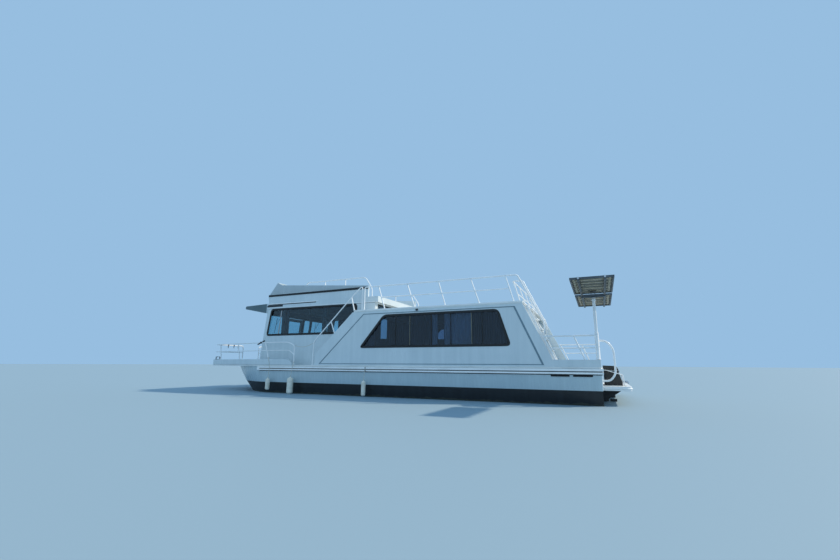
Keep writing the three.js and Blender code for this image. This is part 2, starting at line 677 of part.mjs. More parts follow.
function swimPlatform() {
  const { x0, x1, half, z0, z1 } = PLATFORM;
  const plan = new THREE.Shape();
  plan.moveTo(x1, -half);
  plan.lineTo(x1, half);
  plan.lineTo(x0 + 120, half);
  plan.quadraticCurveTo(x0, half, x0, half - 120);
  plan.lineTo(x0, -half + 120);
  plan.quadraticCurveTo(x0, -half, x0 + 120, -half);
  const brackets = [-1300, 1300].map((y) => prismXZ(
    shapeOf([[x1, z0 + 1], [x1, 60], [x1 - 40, 60], [x0 + 150, z0 + 1]]), y - 15, y + 15));
  const pad = box(PLATFORM_PAD.x, PLATFORM_PAD.y, [z1 - 1, z1 + PLATFORM_PAD.high]);
  return join(prismXY(plan, z0, z1), pad, ...brackets, platformLocker());
}

function platformLocker() {
  const { x, foot, crown, y } = LOCKER;
  return prismXZ(shapeOf([[x, PLATFORM.z1 - 1], [x - foot, PLATFORM.z1 - 1], [x - crown, 790], [x, 800]]), ...y);
}

const SWIM_LADDER = { x0: PLATFORM.x0 - 32, x1: -5960, y0: -560, y1: -160, z: PLATFORM.z1 + 22 };

function swimLadder() {
  const { x0, x1, y0, y1, z } = SWIM_LADDER;
  const rail = (y) => tube([[x0, y, z], [x1, y, z]], TUBE_R);
  const rungs = [0.12, 0.42, 0.72, 0.97].map((t) =>
    tube([[x0 + (x1 - x0) * t, y0, z], [x0 + (x1 - x0) * t, y1, z]], TUBE_R * 0.9));
  return join(rail(y0), rail(y1), ...rungs);
}

// Solar mast: it stands in the corner socket of the port stern rail and carries two panels on a tilting head
const MAST = { x: -5868, y: 2036, radius: 30, top: 2200 };
const SOCKET = { radius: 40, foot: 932, top: 1446 };

function mastSocket() {
  const { radius, foot, top } = SOCKET;
  return join(
    tube([[MAST.x, MAST.y, foot], [MAST.x, MAST.y, top]], radius, 0, 10),
    disc([MAST.x, MAST.y, foot], radius + 12, 8, 10),
  );
}

function solarMast() {
  const { x, y, radius, top } = MAST;
  return join(
    tube([[x, y, SOCKET.top + GAP], [x, y, top]], radius, 0, 10),
    disc([x, y, SOCKET.top + GAP], radius + 9, 40, 10),
  );
}

// The array is drawn about the top of the mast, which is the axis it tilts on
const PANEL = { long: 1530, wide: 740, thick: 35, apart: 240, rim: 30, sheet: 8 };
const ARRAY = { head: 14, beam: 30, rail: 62, panel: 88, railX: 220 };
const ARRAY_TILT = 0.019;

function solarPanel(side) {
  const { long, wide, thick, apart, rim, sheet } = PANEL;
  const y0 = side > 0 ? apart / 2 : -apart / 2 - long;
  const slab = box([-wide / 2, wide / 2], [y0, y0 + long], [ARRAY.panel, ARRAY.panel + thick]);
  const underside = box([-wide / 2 + rim, wide / 2 - rim], [y0 + rim, y0 + long - rim],
    [ARRAY.panel - 8, ARRAY.panel + thick - sheet]);
  return cut(slab, underside);
}

function solarArray() {
  const { head, beam, rail, panel, railX } = ARRAY;
  const reach = PANEL.apart / 2 + PANEL.long;
  const rails = [-railX, railX].map((x) => box([x - 20, x + 20], [-reach, reach], [rail, panel + 2]));
  return join(
    box([-railX - 20, railX + 20], [-30, 30], [beam, rail + 2]),
    box([-45, 45], [-20, 20], [head, beam + 4]),
    ...rails,
    solarPanel(1),
    solarPanel(-1),
  );
}

// Fenders hang outside the port rub rail. Columns: centre x, radius, bottom, top
const FENDERS = [
  { name: 'fender_1', x: 2830, radius: 60, z0: 88, z1: 400 },
  { name: 'fender_2', x: 1995, radius: 85, z0: 5, z1: 440 },
  { name: 'fender_3', x: -345, radius: 56, z0: 28, z1: 392 },
];
const FENDER_GAP = 6;

function fender({ radius, z0, z1 }) {
  const high = z1 - z0;
  const cap = radius * 0.6;
  const profile = [[0, 0], [radius * 0.35, 0], [radius * 0.8, cap * 0.35], [radius, cap], [radius, high - cap],
    [radius * 0.8, high - cap * 0.35], [radius * 0.35, high], [radius * 0.28, high + 26], [0, high + 26]];
  const points = profile.map(([r, z]) => new THREE.Vector2(r, z));
  return solid(new THREE.LatheGeometry(points, 12).rotateX(Math.PI / 2));
}

// Helm stations
function wheel(radius, reach) {
  const rim = solid(new THREE.TorusGeometry(radius, 14, 6, 20));
  const spokes = [0, 1, 2].map((k) => {
    const angle = Math.PI / 2 + (2 * Math.PI * k) / 3;
    return tube([[0, 0, 0], [radius * Math.cos(angle), radius * Math.sin(angle), 0]], 9);
  });
  return join(rim, disc([0, 0, -26], 38, 46, 10), disc([0, 0, -reach], 20, reach, 8), ...spokes);
}

function pilotConsole() {
  return prismXZ(shapeOf([[3560, Z_PILOT_FLOOR + 1], [3560, 1440], [3330, 1520], [3120, 1400], [3060, 1180],
    [3180, 1120], [3180, Z_PILOT_FLOOR + 1]]), -1540, -520);
}

function flyConsole() {
  return prismXZ(shapeOf([[3510, Z_FLY_FLOOR + 1], [3530, 2900], [3400, 3090], [3300, 3110], [3080, 2990],
    [3040, 2850], [3150, 2800], [3150, Z_FLY_FLOOR + 1]]), -1180, -120);
}

function bench([x0, x1], [y0, y1], floor, seat, back) {
  return join(
    box([x0, x1], [y0, y1], [floor + 1, floor + seat]),
    box([x0, x0 + 110], [y0, y1], [floor + seat - 5, floor + back]),
  );
}

// Drive train: an engine block under the cockpit hatch, and two steered legs with propellers
function driveLeg() {
  return join(
    prismXZ(shapeOf([[-90, 60], [60, 60], [60, -250], [80, -330], [110, -430], [110, -520], [40, -620],
      [-60, -640], [-60, -520], [-140, -500], [-170, -430], [-130, -330], [-60, -300]]), -36, 36),
    prismXY(rounded([[-230, -110], [120, -70], [120, 70], [-230, 110]], 40), -330, -312),
    solid(new THREE.SphereGeometry(70, 12, 6).scale(2.6, 1, 1).translate(0, 0, -465)),
  );
}

function propeller() {
  const hub = solid(new THREE.CylinderGeometry(46, 38, 150, 12).rotateZ(Math.PI / 2));
  const blade = solid(new THREE.SphereGeometry(1, 10, 6).scale(9, 62, 88).rotateZ(0.55).translate(0, 0, 102));
  const blades = [0, 1, 2].map((k) => blade.rotate([120 * k, 0, 0]));
  return join(hub, ...blades);
}

function engineBlock() {
  return box([-5600, -5060], [-600, 600], [-170, 360]);
}

function hatch() {
  const { x0, x1, half } = HATCH;
  const gap = 5;
  return box([x0 + gap, x1 - gap], [-half + gap, half - gap], [Z_COCKPIT - HATCH.deep + 1, Z_COCKPIT]);
}

// Ropes across the gates. They sag between their eyes.
const GATE_SAG = 70;
function swag([ax, ay, az], [bx, by, bz], steps = 20) {
  return Array.from({ length: steps + 1 }, (_, k) => {
    const t = k / steps;
    const sag = 4 * GATE_SAG * t * (1 - t);
    return [ax + (bx - ax) * t, ay + (by - ay) * t, az + (bz - az) * t - sag];
  });
}

// The assembled boat
const boat = new THREE.Group();

function add(name, body, material, parent = boat) {
  const mesh = new THREE.Mesh(geometryOf(body), material);
  mesh.name = name;
  parent.add(mesh);
  return mesh;
}

function addPair(name, body, material) {
  add(`${name}_port`, body, material);
  add(`${name}_starboard`, mirrorY(body), material);
}

add('hull', hull(), HULL_PAINT);
add('deck', deck(), DECK_PAINT);
add('bulwark', bulwark(), GELCOAT);
add('transom_wall', transomWall(), GELCOAT);
addPair('rub_rail', rubRail(), VINYL);
addPair('cabin_side', cabinSide(), GELCOAT);
addPair('cabin_glass', pane(CABIN_WINDOW, WINDOW_ROUND, PANEL_IN + 12, PANEL_IN + 20), GLASS);
add('cabin_aft_bulkhead', aftBulkhead(), GELCOAT);
add('cabin_roof', cabinRoof(), DECK_PAINT);
add('aft_door', aftDoor(), GELCOAT);
add('aft_door_glass', slantedPane(14, 8, [AFT_DOOR.y0 + 102, AFT_DOOR.y1 - 102], [1154, 1956]), GLASS);
addPair('pilothouse_side', pilotSide(), GELCOAT);
addPair('pilothouse_glass', pane(PILOT_WINDOW, WINDOW_ROUND, PILOT_IN + 12, PILOT_IN + 20), GLASS);
add('pilothouse_front', pilotFront(), GELCOAT);
add('windshield_port', windshieldPane(WINDSHIELD.port), GLASS);
add('windshield_starboard', windshieldPane(WINDSHIELD.starboard), GLASS);
add('front_door', frontDoor(), GELCOAT);
add('front_door_glass', frontDoorPane(), GLASS);
add('pilothouse_aft_wall', pilotAftWall(), GELCOAT);
add('pilothouse_aft_glass', pilotAftPane(), GLASS);
add('pilothouse_roof', pilotRoof(), GELCOAT);
add('flybridge_coaming', join(flyCoaming(), flyConsole()), GELCOAT);
addPair('flybridge_rail', flyRail(), STEEL);
addPair('side_stairs', stairs(), DECK_PAINT);
addPair('stair_rail', stairRail(), STEEL);
addPair('bow_rail', bowRail(), STEEL);
add('roof_rail_port', roofRailPort(), STEEL);
add('roof_rail_starboard', roofRailStarboard(), STEEL);
add('stern_rail_port', join(sternRail(), mastSocket(), grabRail()), STEEL);
add('stern_rail_starboard', mirrorY(sternRail()), STEEL);
add('roof_ladder', roofLadder(), GELCOAT);
add('swim_platform', swimPlatform(), GELCOAT);
add('swim_ladder', swimLadder(), STEEL);
add('solar_mast', solarMast(), STEEL);
const array = add('solar_array', solarArray(), PANEL_CELLS);
array.position.set(MAST.x, MAST.y, MAST.top);
array.rotation.x = ARRAY_TILT;

FENDERS.forEach((row) => {
  const mesh = add(row.name, fender(row), VINYL);
  mesh.position.set(row.x, HALF + row.radius + FENDER_GAP, row.z0);
});

add('gate_rope_port', tube(swag([2034, RAIL_Y, 1325], [1402, RAIL_Y, 1385]), 6, 0, 8), ROPE);
add('gate_rope_starboard', tube(swag([2034, -RAIL_Y, 1325], [1402, -RAIL_Y, 1385]), 6, 0, 8), ROPE);

add('pilot_console', pilotConsole(), WOOD);
add('pilot_seat', bench([2150, 2650], [-1500, -560], Z_PILOT_FLOOR, 450, 1000), CUSHION);
add('flybridge_seat', bench([1900, 2400], [-1300, 0], Z_FLY_FLOOR, 330, 620), CUSHION);

const WHEELS = [
  { name: 'pilot_wheel', radius: 190, reach: 98, at: [2985, -1030, 1330], tilt: 1.15 },
  { name: 'flybridge_wheel', radius: 175, reach: 90, at: [2965, -650, 2960], tilt: 1.1 },
];
WHEELS.forEach(({ name, radius, reach, at, tilt }) => {
  const mesh = add(name, wheel(radius, reach), DARK_PLASTIC);
  mesh.position.set(...at);
  mesh.rotation.set(0, -tilt, 0);
});

add('engine', engineBlock(), DRIVE_PAINT);
add('engine_hatch', hatch(), DECK_PAINT);
[['port', 1], ['starboard', -1]].forEach(([side, sign]) => {
  const leg = add(`drive_${side}`, driveLeg(), DRIVE_PAINT);
  leg.position.set(DRIVE.x, sign * DRIVE.y, 0);
  const screw = add(`propeller_${side}`, propeller(), BRONZE);
  screw.position.set(DRIVE.x - 270, sign * DRIVE.y, -465);
});

export default boat;
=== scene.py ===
"""Coastal houseboat, afloat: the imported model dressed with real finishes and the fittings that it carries.

Metres, +X to the bow, +Y to port, +Z up. The origin is on the centreline at the waterline.
"""

import json
import logging
import math
from dataclasses import dataclass
from enum import Enum
from functools import partial
from typing import Callable

import bmesh
import bpy
from mathutils import Matrix, Vector

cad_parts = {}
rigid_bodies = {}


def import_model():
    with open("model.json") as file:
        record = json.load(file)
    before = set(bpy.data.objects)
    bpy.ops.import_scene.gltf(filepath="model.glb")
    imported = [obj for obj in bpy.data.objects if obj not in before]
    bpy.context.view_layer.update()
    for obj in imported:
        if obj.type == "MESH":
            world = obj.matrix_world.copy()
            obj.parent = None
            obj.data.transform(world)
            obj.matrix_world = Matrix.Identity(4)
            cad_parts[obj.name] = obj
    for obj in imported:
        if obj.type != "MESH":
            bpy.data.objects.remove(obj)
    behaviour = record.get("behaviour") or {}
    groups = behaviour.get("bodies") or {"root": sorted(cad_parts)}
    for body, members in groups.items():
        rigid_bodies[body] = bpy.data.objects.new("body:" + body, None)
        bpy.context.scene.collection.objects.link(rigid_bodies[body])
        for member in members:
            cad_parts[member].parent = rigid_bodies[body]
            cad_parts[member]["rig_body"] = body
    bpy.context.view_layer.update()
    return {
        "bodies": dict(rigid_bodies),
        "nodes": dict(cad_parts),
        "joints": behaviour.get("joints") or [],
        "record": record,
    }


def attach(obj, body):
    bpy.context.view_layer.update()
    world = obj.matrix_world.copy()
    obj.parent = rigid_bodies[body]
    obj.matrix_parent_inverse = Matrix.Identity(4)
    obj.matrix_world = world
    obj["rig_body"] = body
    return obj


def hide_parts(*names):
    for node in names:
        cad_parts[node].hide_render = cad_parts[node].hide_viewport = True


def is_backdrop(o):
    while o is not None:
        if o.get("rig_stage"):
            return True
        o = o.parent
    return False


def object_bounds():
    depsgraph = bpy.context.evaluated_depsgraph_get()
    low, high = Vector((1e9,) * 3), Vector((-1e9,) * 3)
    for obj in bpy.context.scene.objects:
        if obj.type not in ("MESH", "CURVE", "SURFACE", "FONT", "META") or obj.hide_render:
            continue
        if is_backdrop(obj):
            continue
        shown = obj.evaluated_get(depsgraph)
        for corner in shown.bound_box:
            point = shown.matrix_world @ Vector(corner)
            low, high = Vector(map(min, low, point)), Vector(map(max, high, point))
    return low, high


LOG = logging.getLogger("houseboat")
Point = tuple[float, float, float]
Pair = tuple[float, float]
Socket = bpy.types.NodeSocket
SIDES = (("port", 1.0), ("starboard", -1.0))


def linear(code: str) -> tuple[float, float, float, float]:
    """Turns an sRGB hex colour into linear RGBA.

    Args:
        code: six hex digits, such as "f2f3f1".

    Returns:
        Linear red, green and blue, and an alpha of 1.
    """
    channels = [int(code[i : i + 2], 16) / 255 for i in (0, 2, 4)]
    red, green, blue = (c / 12.92 if c <= 0.04045 else ((c + 0.055) / 1.055) ** 2.4 for c in channels)
    return (red, green, blue, 1.0)


class Graph:
    """A material's nodes, drawn on the piece's own coordinates in metres."""

    def __init__(self, tree: bpy.types.NodeTree) -> None:
        """Clears the tree.

        Args:
            tree: the material's own nodes.
        """
        tree.nodes.clear()
        self.tree = tree
        self.place = self.add("TexCoord").outputs["Object"]

    def add(
        self, kind: str, values: dict | None = None, links: dict | None = None, **settings: object
    ) -> bpy.types.Node:
        """Adds one shader node.

        Args:
            kind: the node's type name without "ShaderNode".
            values: input socket to constant.
            links: input socket to the output that feeds it.
            settings: attributes of the node itself.

        Returns:
            The new node.
        """
        node = self.tree.nodes.new("ShaderNode" + kind)
        for name, value in settings.items():
            setattr(node, name, value)
        for socket, value in (values or {}).items():
            node.inputs[socket].default_value = value
        for socket, output in (links or {}).items():
            self.tree.links.new(output, node.inputs[socket])
        return node


class Grain(Enum):
    """The small relief that a surface shows, with how its pattern is stretched."""

    PEEL = "moulded or sprayed skin with a faint orange peel"
    PEBBLE = "pebbled, as on grained vinyl"
    DIAMOND = "moulded non-skid diamonds"
    BRUSHED = "fine scratches along X"
    FIBRE = "long fibres along X"
    BRAID = "braided strands"


@dataclass(frozen=True)
class Finish:
    """A real material: its colours, gloss and relief, and the record's slot.

    The colour gives way to the worn one in soft patches, over the share that wear gives. The gloss is the
    roughness at its two ends. The patch, the pitch of one grain and its depth are metres, and bite is the
    strength of the relief.
    """

    name: str
    colour: str
    worn: str
    slot: str
    patch: float = 0.6
    gloss: Pair = (0.3, 0.42)
    pitch: float = 0.006
    depth: float = 0.0002
    grain: Grain = Grain.PEEL
    wear: float = 0.35
    metal: float = 0.0
    coat: float = 0.0
    streaks: float = 0.0
    bite: float = 0.8

    def build(self) -> bpy.types.Material:
        """Makes the Blender material.

        Returns:
            The material.
        """
        material = bpy.data.materials.new(self.name)
        material.use_nodes = True
        graph = Graph(material.node_tree)
        patches = self.patches(graph)
        shader = graph.add(
            "BsdfPrincipled", {"Metallic": self.metal, "Coat Weight": self.coat, "Coat Roughness": 0.12},
            {"Base Color": self.paint(graph, patches), "Roughness": self.shine(graph, patches)}
        )
        height = self.relief(graph)
        bump = graph.add("Bump", {"Distance": self.depth, "Strength": self.bite}, {"Height": height})
        graph.tree.links.new(bump.outputs["Normal"], shader.inputs["Normal"])
        self.clear(shader)
        graph.add("OutputMaterial", links={"Surface": shader.outputs["BSDF"]})
        return material

    def patches(self, graph: Graph) -> Socket:
        """Draws where the surface is worn: soft patches, with streaks down it where it has them.

        Args:
            graph: the material's nodes.

        Returns:
            The mask, from 0 to 1.
        """
        place = {"Vector": graph.place}
        soft = graph.add("TexNoise", {"Scale": 1 / self.patch, "Detail": 5.0}, place).outputs["Fac"]
        if not self.streaks:
            return soft
        tall = {"Vector": graph.add("Mapping", {"Scale": (1, 1, 0.06)}, place).outputs[0]}
        runs = graph.add("TexNoise", {"Scale": 9.0, "Detail": 4.0}, tall).outputs["Fac"]
        mixed = graph.add("Mix", {"Factor": self.streaks}, {"A": soft, "B": runs}, data_type="FLOAT")
        return mixed.outputs["Result"]

    def paint(self, graph: Graph, patches: Socket) -> Socket:
        """Mixes the two colours by the wear patches."""
        return self.blend(graph, patches, self.colour, self.worn, self.wear)

    def shine(self, graph: Graph, patches: Socket) -> Socket:
        """Spreads the roughness between its two ends by the wear patches."""
        low, high = self.gloss
        return graph.add("MapRange", {"To Min": low, "To Max": high}, {"Value": patches}).outputs["Result"]

    def relief(self, graph: Graph) -> Socket:
        """Draws the surface's relief as a height from 0 to 1.

        Args:
            graph: the material's nodes.

        Returns:
            The height.
        """
        place, scale = {"Vector": graph.place}, 1 / self.pitch
        if self.grain is Grain.PEBBLE:
            return graph.add("TexVoronoi", {"Scale": scale}, place).outputs["Distance"]
        if self.grain in (Grain.DIAMOND, Grain.BRAID):
            waves = {}
            for k, turn in enumerate((32, -32)):
                lay = graph.add("Mapping", {"Rotation": (0, 0, math.radians(turn))}, place).outputs[0]
                wave = graph.add("TexWave", {"Scale": 0.31 * scale, "Distortion": 0.0}, {"Vector": lay})
                waves[k] = wave.outputs["Fac"]
            return graph.add("Math", links=waves, operation="MULTIPLY").outputs[0]
        stretch = {Grain.BRUSHED: (0.02, 1, 1), Grain.FIBRE: (0.05, 1, 1)}.get(self.grain, (1, 1, 1))
        spread = {"Vector": graph.add("Mapping", {"Scale": stretch}, place).outputs[0]}
        return graph.add("TexNoise", {"Scale": scale, "Detail": 3.0}, spread).outputs["Fac"]

    def clear(self, shader: bpy.types.Node) -> None:
        """Leaves the shader opaque; glass lets light through it here."""

    @staticmethod
    def blend(graph: Graph, mask: Socket, clean: str, worn: str, share: float) -> Socket:
        """Mixes two hex colours by a mask, so that about that share of the surface takes the second.

        Args:
            graph: the material's nodes.
            mask: where the second colour shows.
            clean: the first colour.
            worn: the second colour.
            share: how much of the surface takes the second colour.

        Returns:
            The mixed colour.
        """
        node = graph.add("ValToRGB", links={"Fac": mask})
        first, last = node.color_ramp.elements
        first.position, first.color = 0.5 - share * 0.3, linear(clean)
        last.position, last.color = 0.5 + (1 - share) * 0.45, linear(worn)
        return node.outputs["Color"]


@dataclass(frozen=True)
class BottomPaintedGelcoat(Finish):
    """Glossy gelcoat topsides above matt black antifouling, with a scum line at the waterline."""

    paint_top: float = 0.30
    black: str = "15171a"
    faded: str = "22262a"
    scum: str = "4b4c3d"

    def above(self, graph: Graph) -> Socket:
        """Gives 1 above the paint line and 0 below it, over a soft edge."""
        edge = {"From Min": self.paint_top - 0.002, "From Max": self.paint_top + 0.002}
        return graph.add("MapRange", edge, {"Value": self.height(graph)}).outputs["Result"]

    def height(self, graph: Graph) -> Socket:
        """Gives the height above the waterline."""
        return graph.add("SeparateXYZ", links={"Vector": graph.place}).outputs["Z"]

    def paint(self, graph: Graph, patches: Socket) -> Socket:
        """White above the paint line, black below it, with growth up to just above the waterline.

        Args:
            graph: the material's nodes.
            patches: the mask of the worn patches.

        Returns:
            The colour.
        """
        white = super().paint(graph, patches)
        black = self.blend(graph, patches, self.black, self.faded, 0.4)
        growth = graph.add(
            "TexNoise", {"Scale": 7.0, "Detail": 6.0}, {"Vector": graph.place}
        ).outputs["Fac"]
        line = graph.add("MapRange", {"To Min": 0.10, "To Max": -0.02}, {"Value": growth}).outputs["Result"]
        grown = graph.add("Math", links={0: self.height(graph), 1: line}, operation="LESS_THAN").outputs[0]
        share = graph.add("Math", {1: 0.55}, {0: grown}, operation="MULTIPLY").outputs[0]
        low = graph.add("Mix", {"B": linear(self.scum)}, {"Factor": share, "A": black}, data_type="RGBA")
        links = {"Factor": self.above(graph), "A": low.outputs["Result"], "B": white}
        return graph.add("Mix", links=links, data_type="RGBA").outputs["Result"]

    def shine(self, graph: Graph, patches: Socket) -> Socket:
        """Gelcoat is glossy and antifouling is matt."""
        links = {"Factor": self.above(graph), "B": super().shine(graph, patches)}
        return graph.add("Mix", {"A": 0.62}, links, data_type="FLOAT").outputs["Result"]


@dataclass(frozen=True)
class NonSkid(Finish):
    """Moulded polyester deck: non-skid on what faces up, plain gelcoat on what stands."""

    def relief(self, graph: Graph) -> Socket:
        """Keeps the diamonds to faces that point up.

        Args:
            graph: the material's nodes.

        Returns:
            The height.
        """
        normal = graph.add("NewGeometry").outputs["Normal"]
        upward = graph.add("SeparateXYZ", links={"Vector": normal}).outputs["Z"]
        flat = graph.add("Math", {1: 0.9}, {0: upward}, operation="GREATER_THAN").outputs[0]
        return graph.add("Math", links={0: super().relief(graph), 1: flat}, operation="MULTIPLY").outputs[0]


@dataclass(frozen=True)
class TintedGlass(Finish):
    """Toughened glass with a dark body tint: what stands behind it shows dimly."""

    def clear(self, shader: bpy.types.Node) -> None:
        """Lets light through the glass."""
        shader.inputs["Transmission Weight"].default_value = 1.0
        shader.inputs["IOR"].default_value = 1.5


@dataclass(frozen=True)
class CellGrid(Finish):
    """Silicon cells under glass, with pale gaps between them."""

    cell: float = 0.158
    gap: str = "aeb4ba"

    def paint(self, graph: Graph, patches: Socket) -> Socket:
        """Draws the square cells.

        Args:
            graph: the material's nodes.
            patches: the mask of the worn patches.

        Returns:
            The colour.
        """
        dark = super().paint(graph, patches)
        size = {"Brick Width": self.cell, "Row Height": self.cell, "Mortar": linear(self.gap)}
        links = {"Vector": graph.place, "Color1": dark, "Color2": dark}
        grid = graph.add("TexBrick", {"Scale": 1.0, "Mortar Size": 0.003, **size}, links, offset=0.0)
        return grid.outputs["Color"]


@dataclass(frozen=True)
class Veneer(Finish):
    """Satin-varnished joinery veneer, with its grain along X."""

    dark: str = "5a3620"

    def paint(self, graph: Graph, patches: Socket) -> Socket:
        """Draws the growth rings as distorted bands.

        Args:
            graph: the material's nodes.
            patches: the mask of the worn patches; not used here.

        Returns:
            The colour.
        """
        bands = {"Scale": 14.0, "Distortion": 7.0, "Detail": 3.0, "Detail Scale": 1.4}
        rings = graph.add("TexWave", bands, {"Vector": graph.place}, bands_direction="Z").outputs["Fac"]
        return self.blend(graph, rings, self.colour, self.dark, 0.5)


# Gelcoat, sprayed in a polished mould: a deep soft gloss, chalked in patches; the bottom paint is matt
# The white gelcoat is tinted a cool grey-blue: painted shade, as on a side that is out of the sun
SHADED_GELCOAT = Finish(
    "moulded_white_gelcoat", "d8e2e5", "c8d4d8", "gelcoat", 0.6, (0.22, 0.36), wear=0.4, coat=0.25,
    streaks=0.55
)
COAMING_GREY = Finish(
    "light_grey_gelcoat", "b9c3c7", "abb6bb", "gelcoat", 0.6, (0.3, 0.45), wear=0.4, streaks=0.4
)
DECK_PLAIN = Finish(
    "smooth_deck_gelcoat", "ebedea", "d6d9d5", "deck_paint", 0.6, (0.28, 0.44), 0.008, wear=0.45, coat=0.15
)
# The hull's topsides are a darker, bluer grey than the cabin's gelcoat: painted shade and a painted
# reflection of the water
SHADED_HULL = BottomPaintedGelcoat(
    "hull_gelcoat_and_antifouling", "bfd1d7", "afc2c9", "hull_paint", 0.6, (0.2, 0.34), wear=0.45,
    coat=0.25, streaks=0.7
)
# Below 0.298 the platform's brackets come out black, so the block under the platform is dark
PLATFORM = BottomPaintedGelcoat(
    "platform_gelcoat_and_antifouling", "f4f6f6", "e4e8e8", "gelcoat", 0.6, (0.28, 0.44), wear=0.4,
    coat=0.15, paint_top=0.298
)
# Moulded non-skid is dull and bites the light; its 12 mm diamonds are drawn at 24 mm, to show from afar
DECK = NonSkid(
    "moulded_nonskid_deck", "d7d9d3", "bfc2ba", "deck_paint", 0.6, (0.45, 0.62), 0.024, 0.0015,
    Grain.DIAMOND, bite=0.9
)
# Powder coat: a smooth thin paint film with a crisp white gloss
PAINTED_TUBE = Finish(
    "powder_coated_aluminium_tube", "fafbfb", "eceeee", "rail_tube", 0.2, (0.22, 0.4), 0.002, 0.00004
)
# Bare metals, drawn or brushed: fine scratches stretch the highlights; the last two are cast and weathered
STAINLESS = Finish(
    "polished_stainless_steel", "c9cccf", "a8abad", "rail_tube", 0.05, (0.14, 0.3), 0.0012, 0.00003,
    Grain.BRUSHED, metal=1.0
)
ALUMINIUM = Finish(
    "anodised_aluminium", "b9bcbe", "9c9fa1", "rail_tube", 0.1, (0.3, 0.45), 0.0015, 0.00004, Grain.BRUSHED,
    metal=1.0
)
BRONZE_ALUMINIUM = Finish(
    "bronze_anodised_aluminium", "8f8b7d", "777366", "rail_tube", 0.1, (0.35, 0.5), 0.0015, 0.00004,
    Grain.BRUSHED, metal=1.0
)
BRONZE = Finish("dull_cast_bronze", "8a7448", "6d5c3a", "bronze", 0.06, (0.3, 0.5), 0.004, metal=1.0)
ARRAY_FRAME = Finish(
    "weathered_aluminium_extrusion", "5f666b", "4c5257", "solar_cells", 0.12, (0.45, 0.6), 0.003, 0.0001,
    metal=0.4
)
# Sprayed engine enamel: dark, half matt, dulled by salt
DRIVE = Finish("dark_painted_cast_aluminium", "2b2e31", "3c3f41", "drive_paint", 0.1, (0.35, 0.55), 0.003)
# Tinted float glass: sharp reflections with a slow wave in them, and a dim view inside
PILOT_GLASS = TintedGlass(
    "blue_tinted_glass", "b9dbe6", "b2d4e0", "tinted_glass", 1.5, (0.0, 0.02), 0.4, 0.00005
)
CABIN_GLASS = TintedGlass(
    "smoke_tinted_glass", "8fa3b8", "889cb2", "tinted_glass", 1.5, (0.0, 0.02), 0.4, 0.00005
)
# Extruded rubber and vinyl: matt and even, with a slight change of tone where they are rubbed; the grey-blue
# strips round the cabin side's recess are painted shadow, and so are some black rubber strips
RUBBER = Finish("black_rubber_gasket", "141516", "222325", "dark_plastic", 0.08, (0.45, 0.6), 0.003, 0.0001)
RECESS_SHADOW = Finish("grey_polyurethane_sealant", "7c949f", "6d848e", "gelcoat", 0.1, (0.55, 0.7))
RUB_VINYL = Finish("extruded_white_vinyl", "fbfcfb", "e9ebe9", "vinyl", 0.25, (0.35, 0.5), 0.004, 0.0001)
PIPING = Finish("grey_vinyl_piping", "b9b6ad", "a5a298", "cushion", 0.1, (0.4, 0.5), 0.002, 0.0001)
# PVC, moulded and inflated: a warm white that yellows and scuffs
FENDER = Finish(
    "inflated_white_pvc", "f8f3e6", "ddd6c2", "vinyl", 0.12, (0.3, 0.45), 0.004, 0.0001, wear=0.55
)
# Braided polyester: dull crossing strands that show as fine diamonds
ROPE = Finish(
    "braided_polyester_rope", "d9d5c8", "b3ad9c", "rope", 0.05, (0.7, 0.85), 0.004, 0.0012, Grain.BRAID
)
# Moulded plastics: grained or slightly rough skins with broad soft highlights
BLACK_PLASTIC = Finish(
    "black_abs", "1b1c1e", "2c2d30", "dark_plastic", 0.08, (0.35, 0.5), 0.002, 0.00008, Grain.PEBBLE
)
LOCKER = Finish(
    "rotomoulded_dark_polyethylene", "2a2927", "3b3936", "dark_plastic", 0.15, (0.5, 0.7), 0.004, 0.0003
)
DIAL = Finish(
    "printed_dial_face", "e9eaea", "dcdedd", "gelcoat", 0.6, (0.15, 0.25), 0.002, 0.00002, coat=0.6
)
CLEAR_LENS = Finish("frosted_acrylic_lens", "e6ebee", "d4dade", "gelcoat", 0.6, (0.12, 0.2), coat=0.5)
# Grained vinyl on cushions, walls and headliners: a pebbled skin that scatters the light; the dark wall and
# headliner colours, inside the cabins and under the visor, are painted shade
UPHOLSTERY = Finish(
    "white_marine_vinyl_upholstery", "e9e5da", "d5cfc1", "cushion", 0.2, (0.42, 0.55), 0.003, 0.00025,
    Grain.PEBBLE
)
INTERIOR_SHADE = Finish(
    "dark_blue_vinyl_lining", "2a3442", "222b38", "gelcoat", 0.5, (0.55, 0.7), 0.004, grain=Grain.PEBBLE
)
# The visor's underside and edges are dark grey-green: painted shade
VISOR_SHADE = Finish(
    "visor_lining_board", "66797f", "596c72", "gelcoat", 0.4, (0.75, 0.9), 0.004, 0.0003, Grain.PEBBLE
)
# Woven cloth: dull, with soft long threads that break the light
woven = partial(
    Finish, slot="cushion", patch=0.1, gloss=(0.8, 0.95), pitch=0.003, depth=0.0003, grain=Grain.FIBRE
)
CURTAIN = woven("dark_woven_curtain", "23262e", "2f333d")
PLUM_CURTAIN = woven("plum_woven_curtain", "33303b", "3d3945")
PALE_CURTAIN = woven("grey_woven_curtain", "d9e0e3", "c0c9ce")
# Varnished and oiled wood: warm growth rings under a satin film
JOINERY = Veneer(
    "varnished_joinery_veneer", "8a5f3d", "7a5232", "joinery", 0.3, (0.25, 0.4), 0.002, 0.0001, Grain.FIBRE
)
SOLE = Veneer(
    "oiled_teak_planks", "8e6a44", "7c5a38", "joinery", 0.25, (0.4, 0.6), 0.002, grain=Grain.FIBRE
)
